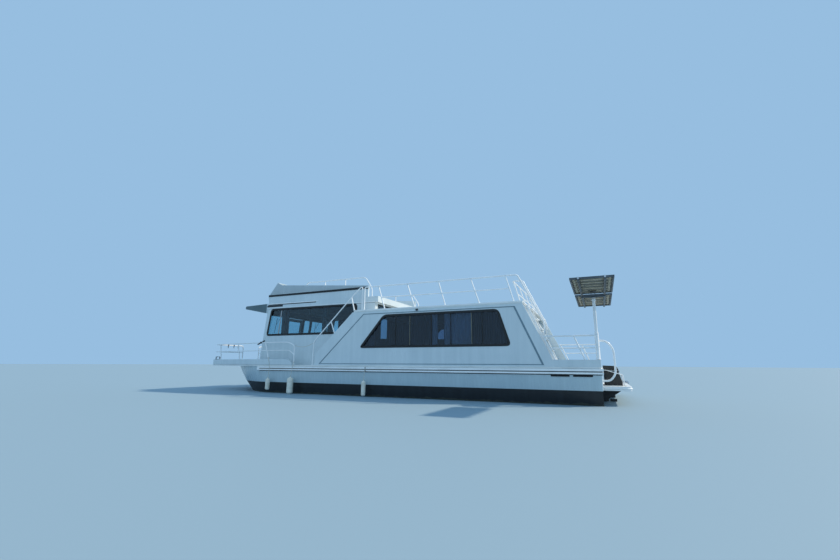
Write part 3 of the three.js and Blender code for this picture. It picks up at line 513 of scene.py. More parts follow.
# Solar panels: near-black cells behind glass above; below, a dark sheet with tan bands on it, painted shadow
# of the cells and painted light through the backsheet between them
CELLS = CellGrid(
    "silicon_cells_under_glass", "101a2e", "16233c", "solar_cells", 0.6, (0.06, 0.12), 0.3, 0.00005
)
SHADED_BACKSHEET = Finish("weathered_panel_backsheet", "5c5d52", "474a45", "solar_cells", 0.1, (0.5, 0.65), 0.01)
LIT_BANDS = Finish("tan_battens", "a8a08a", "83795f", "solar_cells", 0.08, (0.45, 0.6), 0.01, 0.0001)


def rounded(outline: list[Pair], radius: float, steps: int = 6) -> list[Pair]:
    """Rounds each corner of a flat outline with a parabolic arc, as the windows are cut.

    Args:
        outline: the corners in order.
        radius: how far from each corner its arc starts.
        steps: straight pieces in each arc.

    Returns:
        The outline's points in order.
    """
    points: list[Pair] = []
    for i, corner in enumerate(outline):
        here = Vector(corner)
        start, end = (
            here + (Vector(other) - here).normalized() * radius
            for other in (outline[i - 1], outline[(i + 1) % len(outline)])
        )
        points += [tuple(curve(start, here, end, k / steps)) for k in range(steps + 1)]
    return points


def curve(start: Vector, corner: Vector, end: Vector, t: float) -> Vector:
    """Gives the point of a corner's parabolic arc at t, from 0 to 1."""
    return start * (1 - t) ** 2 + corner * (2 * t * (1 - t)) + end * t**2


def offset(outline: list[Pair], distance: float) -> list[Pair]:
    """Moves every edge of a convex outline by the same distance.

    Args:
        outline: the corners in order.
        distance: how far outward, or inward where it is negative.

    Returns:
        The moved corners.
    """
    count = len(outline)
    centre = sum((Vector(p) for p in outline), Vector((0.0, 0.0))) / count
    lines = []
    for i, corner in enumerate(outline):
        here = Vector(corner)
        along = (Vector(outline[(i + 1) % count]) - here).normalized()
        normal = Vector((along.y, -along.x))
        if normal.dot(here - centre) < 0:
            normal.negate()
        lines.append((normal, normal.dot(here) + distance))
    moved = []
    for i, (a, reach) in enumerate(lines):
        b, last = lines[i - 1]
        det = b.x * a.y - b.y * a.x
        moved.append(((last * a.y - reach * b.y) / det, (b.x * reach - a.x * last) / det))
    return moved


def bent(points: list[Point], radius: float, steps: int = 8) -> list[Vector]:
    """Rounds each corner of a tube's route.

    Args:
        points: the route's corners.
        radius: how far from each corner its bend starts.
        steps: straight pieces in each bend.

    Returns:
        The points of the bent centreline.
    """
    route = [Vector(p) for p in points]
    path = [route[0]]
    for before, here, after in zip(route, route[1:], route[2:]):
        back, ahead = before - here, after - here
        reach = min(radius, back.length * 0.48, ahead.length * 0.48)
        start, end = (here + way.normalized() * reach for way in (back, ahead))
        path += [curve(start, here, end, k / steps) for k in range(steps + 1)]
    return path + [route[-1]]


def verts_of(made: dict) -> list:
    """Picks the vertices out of what a bmesh operator made."""
    return [g for g in made["geom"] if isinstance(g, bmesh.types.BMVert)]


def turn_to(axis: Point) -> Matrix:
    """Gives the turn that lays +Z along an axis."""
    return Vector(axis).to_track_quat("Z", "Y").to_matrix().to_4x4()


class Shape:
    """A mesh under construction, made of bmesh's own shapes."""

    def __init__(self) -> None:
        """Starts empty."""
        self.bm = bmesh.new()

    def bevel(self, edges: list, width: float) -> None:
        """Rounds edges in two steps.

        Args:
            edges: the edges.
            width: how far the rounding reaches from each edge.
        """
        bmesh.ops.bevel(
            self.bm, geom=edges, offset=width, segments=2, profile=0.5, affect="EDGES", material=-1
        )

    def between(self, verts: list) -> list:
        """Lists the edges between the given vertices."""
        wanted = set(verts)
        return [e for e in self.bm.edges if e.verts[0] in wanted and e.verts[1] in wanted]

    def outward(self, verts: list) -> None:
        """Turns the faces round the given vertices outwards."""
        faces = list({f for v in verts for f in v.link_faces})
        bmesh.ops.recalc_face_normals(self.bm, faces=faces)

    def block(self, low: Point, high: Point, soft: float = 0.0, turn: Matrix | None = None) -> None:
        """Adds a box between two corners.

        Args:
            low: its lowest corner.
            high: its highest corner.
            soft: the width of its bevels.
            turn: a turn about its own middle.
        """
        centre, size = (Vector(low) + Vector(high)) / 2, Vector(high) - Vector(low)
        place = Matrix.Translation(centre) @ (turn or Matrix.Identity(4)) @ Matrix.Diagonal((*size, 1))
        made = bmesh.ops.create_cube(self.bm, size=1.0, matrix=place)
        if soft:
            self.bevel(self.between(made["verts"]), soft)

    def bar(
        self, start: Point, end: Point, radius: float, tip: float | None = None, sides: int = 20,
        soft: float = 0.0
    ) -> None:
        """Adds a round bar between two points, or a cone.

        Args:
            start: the middle of its first end.
            end: the middle of its other end.
            radius: its radius.
            tip: the radius of its other end, if that is another.
            sides: the facets round it.
            soft: the width of its ends' bevels.
        """
        a, b = Vector(start), Vector(end)
        place = Matrix.Translation((a + b) / 2) @ turn_to(b - a)
        tip = radius if tip is None else tip
        made = bmesh.ops.create_cone(
            self.bm, cap_ends=True, segments=sides, radius1=radius, radius2=tip, depth=(b - a).length,
            matrix=place
        )
        if soft:
            edges = self.between(made["verts"])
            self.bevel([e for e in edges if any(len(f.verts) > 4 for f in e.link_faces)], soft)

    def ball(self, centre: Point, size: Point, turns: int = 20) -> None:
        """Adds an ellipsoid with the given half sizes.

        Args:
            centre: its middle.
            size: its half sizes.
            turns: the facets round it.
        """
        place = Matrix.Translation(centre) @ Matrix.Diagonal((*size, 1))
        bmesh.ops.create_uvsphere(
            self.bm, u_segments=turns, v_segments=turns // 2, radius=1.0, matrix=place
        )

    def pushed(self, faces: list, push: Point) -> list:
        """Extrudes faces along a vector, keeps the first ones, and gives the new vertices.

        Args:
            faces: the faces.
            push: the way and distance.

        Returns:
            The new vertices.
        """
        moved = verts_of(bmesh.ops.extrude_face_region(self.bm, geom=faces, use_keep_orig=True))
        bmesh.ops.translate(self.bm, verts=moved, vec=Vector(push))
        return moved

    def plate(self, outline: list[Point], push: Point, soft: float = 0.0) -> None:
        """Adds a flat outline pushed along a vector.

        Args:
            outline: the corners of its near face.
            push: the way and distance to its far face.
            soft: the width of its bevels.
        """
        face = self.bm.faces.new([self.bm.verts.new(p) for p in outline])
        island = self.pushed([face], push) + list(face.verts)
        self.outward(island)
        if soft:
            self.bevel(self.between(island), soft)

    def frame(self, outline: list[Point], width: float, push: Point) -> None:
        """Adds a closed band that runs inside an outline and is pushed along a vector.

        Args:
            outline: the outer edge of its near face.
            width: how far it reaches inward.
            push: the way and distance to its far face.
        """
        face = self.bm.faces.new([self.bm.verts.new(p) for p in outline])
        face.normal_update()
        bmesh.ops.inset_region(
            self.bm, faces=[face], thickness=width, use_boundary=True, use_even_offset=True
        )
        band = {f for v in face.verts for f in v.link_faces} - {face}
        bmesh.ops.delete(self.bm, geom=[face], context="FACES")
        moved = self.pushed(list(band), push)
        self.outward(moved + [v for f in band for v in f.verts])

    def turned(self, profile: list[Pair], centre: Point, axis: Point = (0, 0, 1), steps: int = 28) -> None:
        """Adds a shape turned about an axis.

        Args:
            profile: radius and distance along the axis, from one end to the other.
            centre: where the axis starts.
            axis: the way it points.
            steps: the facets round it.
        """
        verts = [self.bm.verts.new((radius, 0, along)) for radius, along in profile]
        edges = [self.bm.edges.new(pair) for pair in zip(verts, verts[1:])]
        bmesh.ops.spin(
            self.bm, geom=verts + edges, cent=(0, 0, 0), axis=(0, 0, 1), angle=math.tau, steps=steps,
            use_merge=True
        )
        grown, edge = set(verts), list(verts)
        while edge:
            vert = edge.pop()
            fresh = {link.other_vert(vert) for link in vert.link_edges} - grown
            grown |= fresh
            edge += fresh
        bmesh.ops.remove_doubles(self.bm, verts=list(grown), dist=1e-5)
        alive = [v for v in grown if v.is_valid]
        self.outward(alive)
        bmesh.ops.transform(self.bm, matrix=Matrix.Translation(centre) @ turn_to(axis), verts=alive)

    def tube(self, points: list[Point], radius: float, bend: float = 0.08, sides: int = 12) -> None:
        """Adds a round tube along a route with bent corners, through Blender's own curve.

        Args:
            points: the route's corners.
            radius: the tube's radius.
            bend: how far from each corner its bend starts.
            sides: about how many facets are round it.
        """
        line = bpy.data.curves.new("route", "CURVE")
        line.dimensions = "3D"
        line.bevel_depth = radius
        line.bevel_resolution = max(1, (sides - 4) // 2)
        line.use_fill_caps = True
        path = bent(points, bend) if bend else points
        spline = line.splines.new("POLY")
        spline.points.add(len(path) - 1)
        for spot, place in zip(spline.points, path):
            spot.co = (*place, 1.0)
        holder = bpy.data.objects.new("route", line)
        mesh = bpy.data.meshes.new_from_object(holder)
        self.bm.from_mesh(mesh)
        bpy.data.objects.remove(holder)
        bpy.data.curves.remove(line)
        bpy.data.meshes.remove(mesh)

    def placed(self, side: float, place: Matrix | None = None) -> "Shape":
        """Moves the shape from its own origin to its place, and to its side.

        Args:
            side: 1, or -1 for the mirror image on the starboard side.
            place: where it goes.

        Returns:
            This shape.
        """
        if place:
            bmesh.ops.transform(self.bm, matrix=place, verts=self.bm.verts)
        if side < 0:
            bmesh.ops.scale(self.bm, vec=(1, -1, 1), verts=self.bm.verts)
            bmesh.ops.reverse_faces(self.bm, faces=self.bm.faces)
        return self

    def ring(
        self, centre: Point, radius: float, thick: float, axis: Point = (0, 0, 1), steps: int = 28
    ) -> None:
        """Adds a torus about an axis.

        Args:
            centre: its middle.
            radius: from the axis to the middle of its section.
            thick: the radius of its section.
            axis: the axis that it runs round.
            steps: the facets round it.
        """
        angles = [math.tau * k / 10 for k in range(11)]
        circle = [(radius + thick * math.cos(a), thick * math.sin(a)) for a in angles]
        self.turned(circle, centre, axis, steps)

    def screw(self, centre: Point, radius: float = 0.004, axis: Point = (0, 0, 1)) -> None:
        """Adds the domed head of a screw.

        Args:
            centre: the middle of its underside.
            radius: its radius.
            axis: the way that it faces.
        """
        dome = [
            (0, radius * 0.55), (radius * 0.5, radius * 0.48), (radius * 0.9, radius * 0.2), (radius, 0)
        ]
        self.turned(dome, centre, axis, 10)

    def flange(self, foot: Point, radius: float, axis: Point = (0, 0, 1)) -> None:
        """Adds the round foot plate that a tube is welded to, with its weld and three screws.

        Args:
            foot: the plate's middle, on the surface that it stands on.
            radius: the tube's radius.
            axis: the way up from that surface.
        """
        wide = radius + 0.018
        plate = [(0, 0.0), (wide, 0.0), (wide, 0.003), (wide - 0.002, 0.0045)]
        weld = [(radius + 0.004, 0.005), (radius + 0.0015, 0.0095), (0, 0.0095)]
        self.turned(plate + weld, foot, axis)
        for k in range(3):
            angle, out = math.tau * k / 3, radius + 0.0105
            spot = Vector((math.cos(angle) * out, math.sin(angle) * out, 0.0044))
            self.screw(tuple(Vector(foot) + turn_to(axis) @ spot), 0.0042, axis)


# A method that draws a piece adds it to the empty shape that it is given
Draw = Callable[[Shape], None]


@dataclass(frozen=True)
class Room:
    """The box of air inside a cabin, or under the visor: its faces there take a dark finish, which is
    painted shade.
    """

    low: Point
    high: Point
    wall: tuple[Point, Point] | None = None
    shade_lining: Finish = INTERIOR_SHADE
    inner_only: bool = True

    def split(self, bm: bmesh.types.BMesh) -> None:
        """Cuts the faces that run on past the room's slanted wall.

        Args:
            bm: the mesh that the faces are in.
        """
        if self.wall:
            every = [*bm.verts, *bm.edges, *bm.faces]
            bmesh.ops.bisect_plane(bm, geom=every, plane_co=self.wall[0], plane_no=self.wall[1])

    def sees(self, face: bmesh.types.BMFace) -> bool:
        """Tells whether a face looks into the room.

        Args:
            face: the face.

        Returns:
            True if it does.
        """
        spot = face.calc_center_median()
        inside = all(a < c < b for a, c, b in zip(self.low, spot, self.high))
        if self.wall:
            inside = inside and (spot - Vector(self.wall[0])).dot(Vector(self.wall[1])) > 0
        inward = face.normal.dot((Vector(self.low) + Vector(self.high)) / 2 - spot) > 0
        return inside and (inward or not self.inner_only)


class Yard:
    """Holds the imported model, and hangs each finished piece on its body."""

    SMOOTH_TO = math.radians(38)

    def __init__(self, frame: dict) -> None:
        """Takes the loaded frame."""
        self.nodes = frame["nodes"]
        self.made: dict[str, bpy.types.Material] = {}

    def material(self, finish: Finish) -> bpy.types.Material:
        """Gives a finish's material, which is made once.

        Args:
            finish: the finish.

        Returns:
            The material.
        """
        if finish.name not in self.made:
            self.made[finish.name] = finish.build()
        return self.made[finish.name]

    def paint(self, node: str, finish: Finish) -> None:
        """Gives a CAD node its material.

        Args:
            node: the CAD node.
            finish: the finish that it takes.
        """
        mesh = self.nodes[node].data
        mesh.materials.clear()
        mesh.materials.append(self.material(finish))

    def keep(
        self, name: str, shape: Shape, finish: Finish, body: str = "boat", replaces: tuple[str, ...] = ()
    ) -> bpy.types.Object:
        """Makes a piece of a shape and lets it ride on a body.

        Args:
            name: the piece's name.
            shape: its mesh, which is used up.
            finish: its material.
            body: the body that it rides on.
            replaces: CAD nodes that it stands for.

        Returns:
            The piece's object.
        """
        mesh = bpy.data.meshes.new(name)
        shape.bm.to_mesh(mesh)
        shape.bm.free()
        mesh.materials.append(self.material(finish))
        for polygon in mesh.polygons:
            polygon.use_smooth = True
            polygon.material_index = 0
        mesh.set_sharp_from_angle(angle=self.SMOOTH_TO)
        piece = bpy.data.objects.new(name, mesh)
        bpy.context.scene.collection.objects.link(piece)
        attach(piece, body)
        if replaces:
            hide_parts(*replaces)
        LOG.info("%s rides on %s", name, body)
        return piece

    def hang(
        self, name: str, draw: Draw, finish: Finish, body: str = "boat", replaces: tuple[str, ...] = (),
        side: float = 1.0, place: Matrix | None = None
    ) -> bpy.types.Object:
        """Draws a piece, moves it to its side and place, and keeps it.

        Args:
            name: the piece's name.
            draw: draws it.
            finish: its material.
            body: the body that it rides on.
            replaces: CAD nodes that it stands for.
            side: -1 for the mirror image on the starboard side.
            place: where it goes, if it is drawn about its own origin.

        Returns:
            The piece's object.
        """
        shape = Shape()
        draw(shape)
        return self.keep(name, shape.placed(side, place), finish, body, replaces)

    def moulding(self, node: str, finish: Finish, edge: float = 0.006, room: Room | None = None) -> None:
        """Stands a moulded copy with rounded edges in for a CAD node.

        Args:
            node: the CAD node.
            finish: the copy's material.
            edge: how far the bevels reach from each edge.
            room: the room whose dark finish, painted shade, covers the copy's faces inside it.
        """
        shape = Shape()
        bm = shape.bm
        bm.from_mesh(self.nodes[node].data)
        bmesh.ops.remove_doubles(bm, verts=bm.verts, dist=2e-5)
        flat = math.radians(0.5)
        bmesh.ops.dissolve_limit(
            bm, angle_limit=flat, use_dissolve_boundaries=False, verts=bm.verts, edges=bm.edges
        )
        if room:
            room.split(bm)
        bm.faces.index_update()
        shaded_faces = [f.index for f in bm.faces if room and room.sees(f)]
        piece = self.keep(f"{node}_moulding", shape, finish, self.nodes[node]["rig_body"], (node,))
        if shaded_faces:
            piece.data.materials.append(self.material(room.shade_lining))
        for index in shaded_faces:
            piece.data.polygons[index].material_index = 1
        bevel = piece.modifiers.new("edges", "BEVEL")
        bevel.width = edge
        bevel.segments = 2
        bevel.limit_method = "ANGLE"
        bevel.angle_limit = self.SMOOTH_TO
        bevel.harden_normals = True

    def pair(self, name: str, draw: Draw, finish: Finish, replaces: str = "") -> None:
        """Hangs a shape on the port side and its mirror image on the starboard side.

        Args:
            name: the pieces' name, without its side.
            draw: draws the port shape.
            finish: their material.
            replaces: the CAD node that each stands for, without its side.
        """
        for side, sign in SIDES:
            nodes = (f"{replaces}_{side}",) if replaces else ()
            self.hang(f"{name}_{side}", draw, finish, replaces=nodes, side=sign)


@dataclass
class Studio:
    """Plain floor at the waterline, soft light, and a camera where the photographer was."""

    eye: Point = (-5.9, 11.235, 0.82)
    heading: Pair = (0.4035, -0.9150)
    pitch: float = math.radians(11.97)
    bow_up: float = 0.0052
    lens: float = 17.19
    sky: str = "97bee0"
    ground: str = "93abb8"

    def link(self, name: str, data: bpy.types.ID) -> bpy.types.Object:
        """Puts a mesh, a light or a camera in the scene.

        Args:
            name: its name.
            data: the mesh, light or camera.

        Returns:
            The object that holds it.
        """
        thing = bpy.data.objects.new(name, data)
        bpy.context.scene.collection.objects.link(thing)
        return thing

    def build(self) -> None:
        """Lays the floor, sets the lights, and points the camera along the photograph's line of sight."""
        self.floor()
        self.lights()
        flat = Vector((*self.heading, 0)).normalized()
        ahead = flat * math.cos(self.pitch) + Vector((0, 0, math.sin(self.pitch)))
        up = Vector((0, 0, math.cos(self.pitch))) - flat * math.sin(self.pitch)
        # The boat trims bow up in the photograph and is level here
        ahead, up = (
            Vector((v.x + self.bow_up * v.z, v.y, v.z - self.bow_up * v.x)).normalized()
            for v in (ahead, up)
        )
        right = ahead.cross(up).normalized()
        turn = Matrix((right, right.cross(ahead), -ahead)).transposed().to_4x4()
        data = bpy.data.cameras.new("camera")
        data.lens = self.lens
        data.sensor_width = 36.0
        data.clip_end = 500
        camera = self.link("camera", data)
        camera.matrix_world = Matrix.Translation(self.eye) @ turn
        bpy.context.scene.camera = camera

    def floor(self) -> None:
        """Lays a pale floor at the waterline that runs to the horizon."""
        bm = bmesh.new()
        bmesh.ops.create_grid(bm, x_segments=1, y_segments=1, size=250.0)
        mesh = bpy.data.meshes.new("floor")
        bm.to_mesh(mesh)
        bm.free()
        material = bpy.data.materials.new("pale_studio_floor")
        material.use_nodes = True
        shader = material.node_tree.nodes["Principled BSDF"]
        shader.inputs["Base Color"].default_value = linear(self.ground)
        shader.inputs["Roughness"].default_value = 0.65
        mesh.materials.append(material)
        self.link("floor", mesh)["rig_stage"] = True

    def lights(self) -> None:
        """Lights the boat with a cool pale sky, and a soft warm sun from beyond the starboard quarter."""
        world = bpy.data.worlds.new("studio")
        world.use_nodes = True
        sky = world.node_tree.nodes["Background"]
        sky.inputs["Color"].default_value = linear(self.sky)
        sky.inputs["Strength"].default_value = 1.0
        scene = bpy.context.scene
        scene.world = world
        scene.view_settings.view_transform = "Standard"
        for name, way, power, spread, colour in (
            ("sun", (0.66, 0.36, -0.66), 3.3, 2, "fff0da"),
            ("fill", (0.25, -0.80, -0.30), 0.15, 60, "dfeaf5")
        ):
            data = bpy.data.lights.new(name, "SUN")
            data.energy = power
            data.angle = math.radians(spread)
            data.color = linear(colour)[:3]
            self.link(name, data).rotation_euler = Vector(way).to_track_quat("-Z", "Y").to_euler()


def along_side(outline: list[Pair], y: float) -> list[Point]:
    """Stands an outline of x and z upright at a distance from the centreline."""
    return [(x, y, z) for x, z in outline]


def flat_at(outline: list[Pair], z: float) -> list[Point]:
    """Lays an outline of x and y flat at a height."""
    return [(x, y, z) for x, y in outline]


def oblong(x0: float, x1: float, y0: float, y1: float) -> list[Pair]:
    """Gives the corners of a rectangle."""
    return [(x0, y0), (x1, y0), (x1, y1), (x0, y1)]


def louvre(shape: Shape, low: Point, high: Point) -> None:
    """Adds a vent that faces port: a frame with three slats that lean out of it.

    Args:
        shape: the shape that takes it.
        low: the frame's lowest corner.
        high: its highest corner.
    """
    (x0, y0, z0), (x1, y1, z1) = low, high
    rim, lean = 0.008, Matrix.Rotation(math.radians(-35), 4, "X")
    shape.frame(along_side(rounded(oblong(x0, x1, z0, z1), 0.012, 4), y0), rim, (0, y1 - y0, 0))
    for share in (1 / 6, 1 / 2, 5 / 6):
        z = z0 + rim + (z1 - z0 - 2 * rim) * share
        shape.block(
            (x0 + rim / 2, y0 - 0.001, z - 0.002), (x1 - rim / 2, y0 + 0.011, z + 0.002), 0.0008, lean
        )


def cleat(shape: Shape, centre: Point, heading: float, long: float = 0.2) -> None:
    """Adds a horn cleat: two feet under a bar whose horns taper and rise a little.

    Args:
        shape: the shape that takes it.
        centre: the middle of its base.
        heading: the angle of its bar from +X.
        long: the bar's length.
    """
    own = Shape()
    half, thick = long / 2, long * 0.05
    foot, top, tip = half * 0.55, half * 0.42, half * 0.5
    own.bar((-foot, 0, top), (foot, 0, top), thick * 1.15)
    for way in (-1, 1):
        own.bar((way * tip, 0, top), (way * half, 0, tip), thick * 1.15, thick * 0.55, soft=0.002)
        own.bar((way * half * 0.28, 0, 0.004), (way * half * 0.24, 0, half * 0.4), thick * 1.5, thick)
        own.screw((way * half * 0.42, 0, 0.006), 0.005)
    base = rounded(oblong(-foot, foot, -thick * 2, thick * 2), thick * 1.9)
    own.plate(flat_at(base, 0), (0, 0, 0.006), 0.0015)
    own.placed(1, Matrix.Translation(centre) @ Matrix.Rotation(heading, 4, "Z"))
    mesh = bpy.data.meshes.new("cleat")
    own.bm.to_mesh(mesh)
    own.bm.free()
    shape.bm.from_mesh(mesh)
    bpy.data.meshes.remove(mesh)


@dataclass(frozen=True)
class Slope:
    """A wall's slanted outer face: its foot, how far it runs along X as it rises, and the way it looks."""

    x: float
    z: float
    run: float
    way: int

    def at(self, y: float, z: float, out: float = 0.0) -> Point:
        """Gives the face's point at a height, or the point that far outside it."""
        x, _, lift = self.step(out)
        return (self.x + (z - self.z) * self.run + x, y, z + lift)

    def lay(self, outline: list[Pair], out: float = 0.0) -> list[Point]:
        """Lays an outline of y and z on the face, or that far outside it."""
        return [self.at(y, z, out) for y, z in outline]

    def step(self, far: float) -> Point:
        """Gives a step straight out of the face."""
        x = self.way * far / math.hypot(1, self.run)
        return (x, 0, -x * self.run)


# Lengths that two sub-assemblies share
MAST = (-5.868, 2.036, 2.2)
ROOF_RAIL_TOP = 2.855
ROOF_RAIL_END = -4.1502
LADDER_INNER = 1.345
BULKHEAD = Slope(-4.795, 0.783, 0.42569, -1)
FRONT = Slope(3.785, 0.78, -0.1142, 1)


@dataclass
class Hull:
    """Hull, rub rails and what is on the topsides."""

    yard: Yard
    side: float = 2.09
    transom: float = -5.9
    rub_end: float = 3.33
    strip_out: float = 0.028
    vents: tuple[Pair, ...] = ((-5.736, -5.355), (-5.286, -4.908))
    vent_rise: Pair = (0.578, 0.628)
    joint: float = -0.345

    def build(self) -> None:
        """Dresses the hull."""
        self.yard.moulding("hull", SHADED_HULL, 0.01)
        for side, _ in SIDES:
            self.yard.moulding(f"rub_rail_{side}", RUB_VINYL, 0.011)
        self.yard.pair("rub_rail_insert", self.strips_and_shadow, RUBBER)
        self.yard.pair("rub_rail_joint", self.joint_cover, STAINLESS)
        self.yard.pair("engine_vents", self.vent_pair, BLACK_PLASTIC)
        self.yard.hang("bow_eye", self.bow_eye, STAINLESS)
        self.yard.pair("transom_trim", self.transom_trim, SHADED_GELCOAT)

    def strips_and_shadow(self, shape: Shape) -> None:
        """Draws the black strip that lies in the groove between the rub rail's two mouldings, its end across
        the transom, and a black band on the hull under the rail, which is painted shadow.

        Args:
            shape: the empty shape that takes the piece.
        """
        low, high = 0.6715, 0.6905
        out = self.side + self.strip_out
        shape.block(
            (self.transom - 0.02, out - 0.002, low), (self.rub_end - 0.06, out + 0.003, high), 0.001
        )
        face = self.transom - self.strip_out
        shape.block((face - 0.003, 0.33, low), (face + 0.002, out, high), 0.001)
        # The black band on the hull under the rail is painted shadow
        shape.block(
            (self.transom - 0.02, self.side - 0.001, 0.613),
            (self.rub_end - 0.06, self.side + 0.012, 0.6335), 0.003
        )

    def joint_cover(self, shape: Shape) -> None:
        """Draws the plates that cover the joints in the rub rail, with their screws.

        Args:
            shape: the empty shape that takes the piece.
        """
        for z in (0.651, 0.717):
            y = self.side + 0.045
            shape.block(
                (self.joint - 0.022, y - 0.004, z - 0.02), (self.joint + 0.022, y + 0.0025, z + 0.02), 0.002
            )
            for x in (self.joint - 0.012, self.joint + 0.012):
                shape.screw((x, y + 0.0022, z), 0.004, (0, 1, 0))

    def vent_pair(self, shape: Shape) -> None:
        """Draws the two black engine-room vents.

        Args:
            shape: the empty shape that takes the piece.
        """
        for x0, x1 in self.vents:
            low = (x0, self.side - 0.003, self.vent_rise[0])
            louvre(shape, low, (x1, self.side + 0.009, self.vent_rise[1]))
            back = rounded(
                oblong(x0 + 0.004, x1 - 0.004, low[2] + 0.004, self.vent_rise[1] - 0.004), 0.01, 3
            )
            shape.plate(along_side(back, self.side - 0.004), (0, 0.0055, 0))

    def skin(self, z: float) -> float:
        """Gives the hull's half breadth at a height above the paint line.

        Args:
            z: the height.

        Returns:
            The half breadth.
        """
        low, high = (0.3, 2.06), (0.6, 2.09)
        share = min(1.0, (z - low[0]) / (high[0] - low[0]))
        return low[1] + (high[1] - low[1]) * share

    def bow_eye(self, shape: Shape) -> None:
        """Draws the eye bolt through the stem.

        Args:
            shape: the empty shape that takes the piece.
        """
        x, z = 5.46, 0.4
        shape.tube(
            [(x - 0.02, 0.028, z), (x + 0.055, 0.028, z), (x + 0.055, -0.028, z), (x - 0.02, -0.028, z)],
            0.006, 0.03
        )
        shape.turned([(0, 0.004), (0.038, 0.004), (0.042, 0), (0, 0)], (x - 0.004, 0, z), (1, 0, -0.25))

    def transom_trim(self, shape: Shape) -> None:
        """Draws the rounded corner moulding where the topside turns into the transom.

        Args:
            shape: the empty shape that takes the piece.
        """
        x = self.transom + 0.004
        shape.bar((x, self.skin(0.305) - 0.006, 0.305), (x, self.side - 0.006, 0.628), 0.012)
        shape.bar((x, 2.096, 0.785), (x, 2.096, 0.925), 0.012)


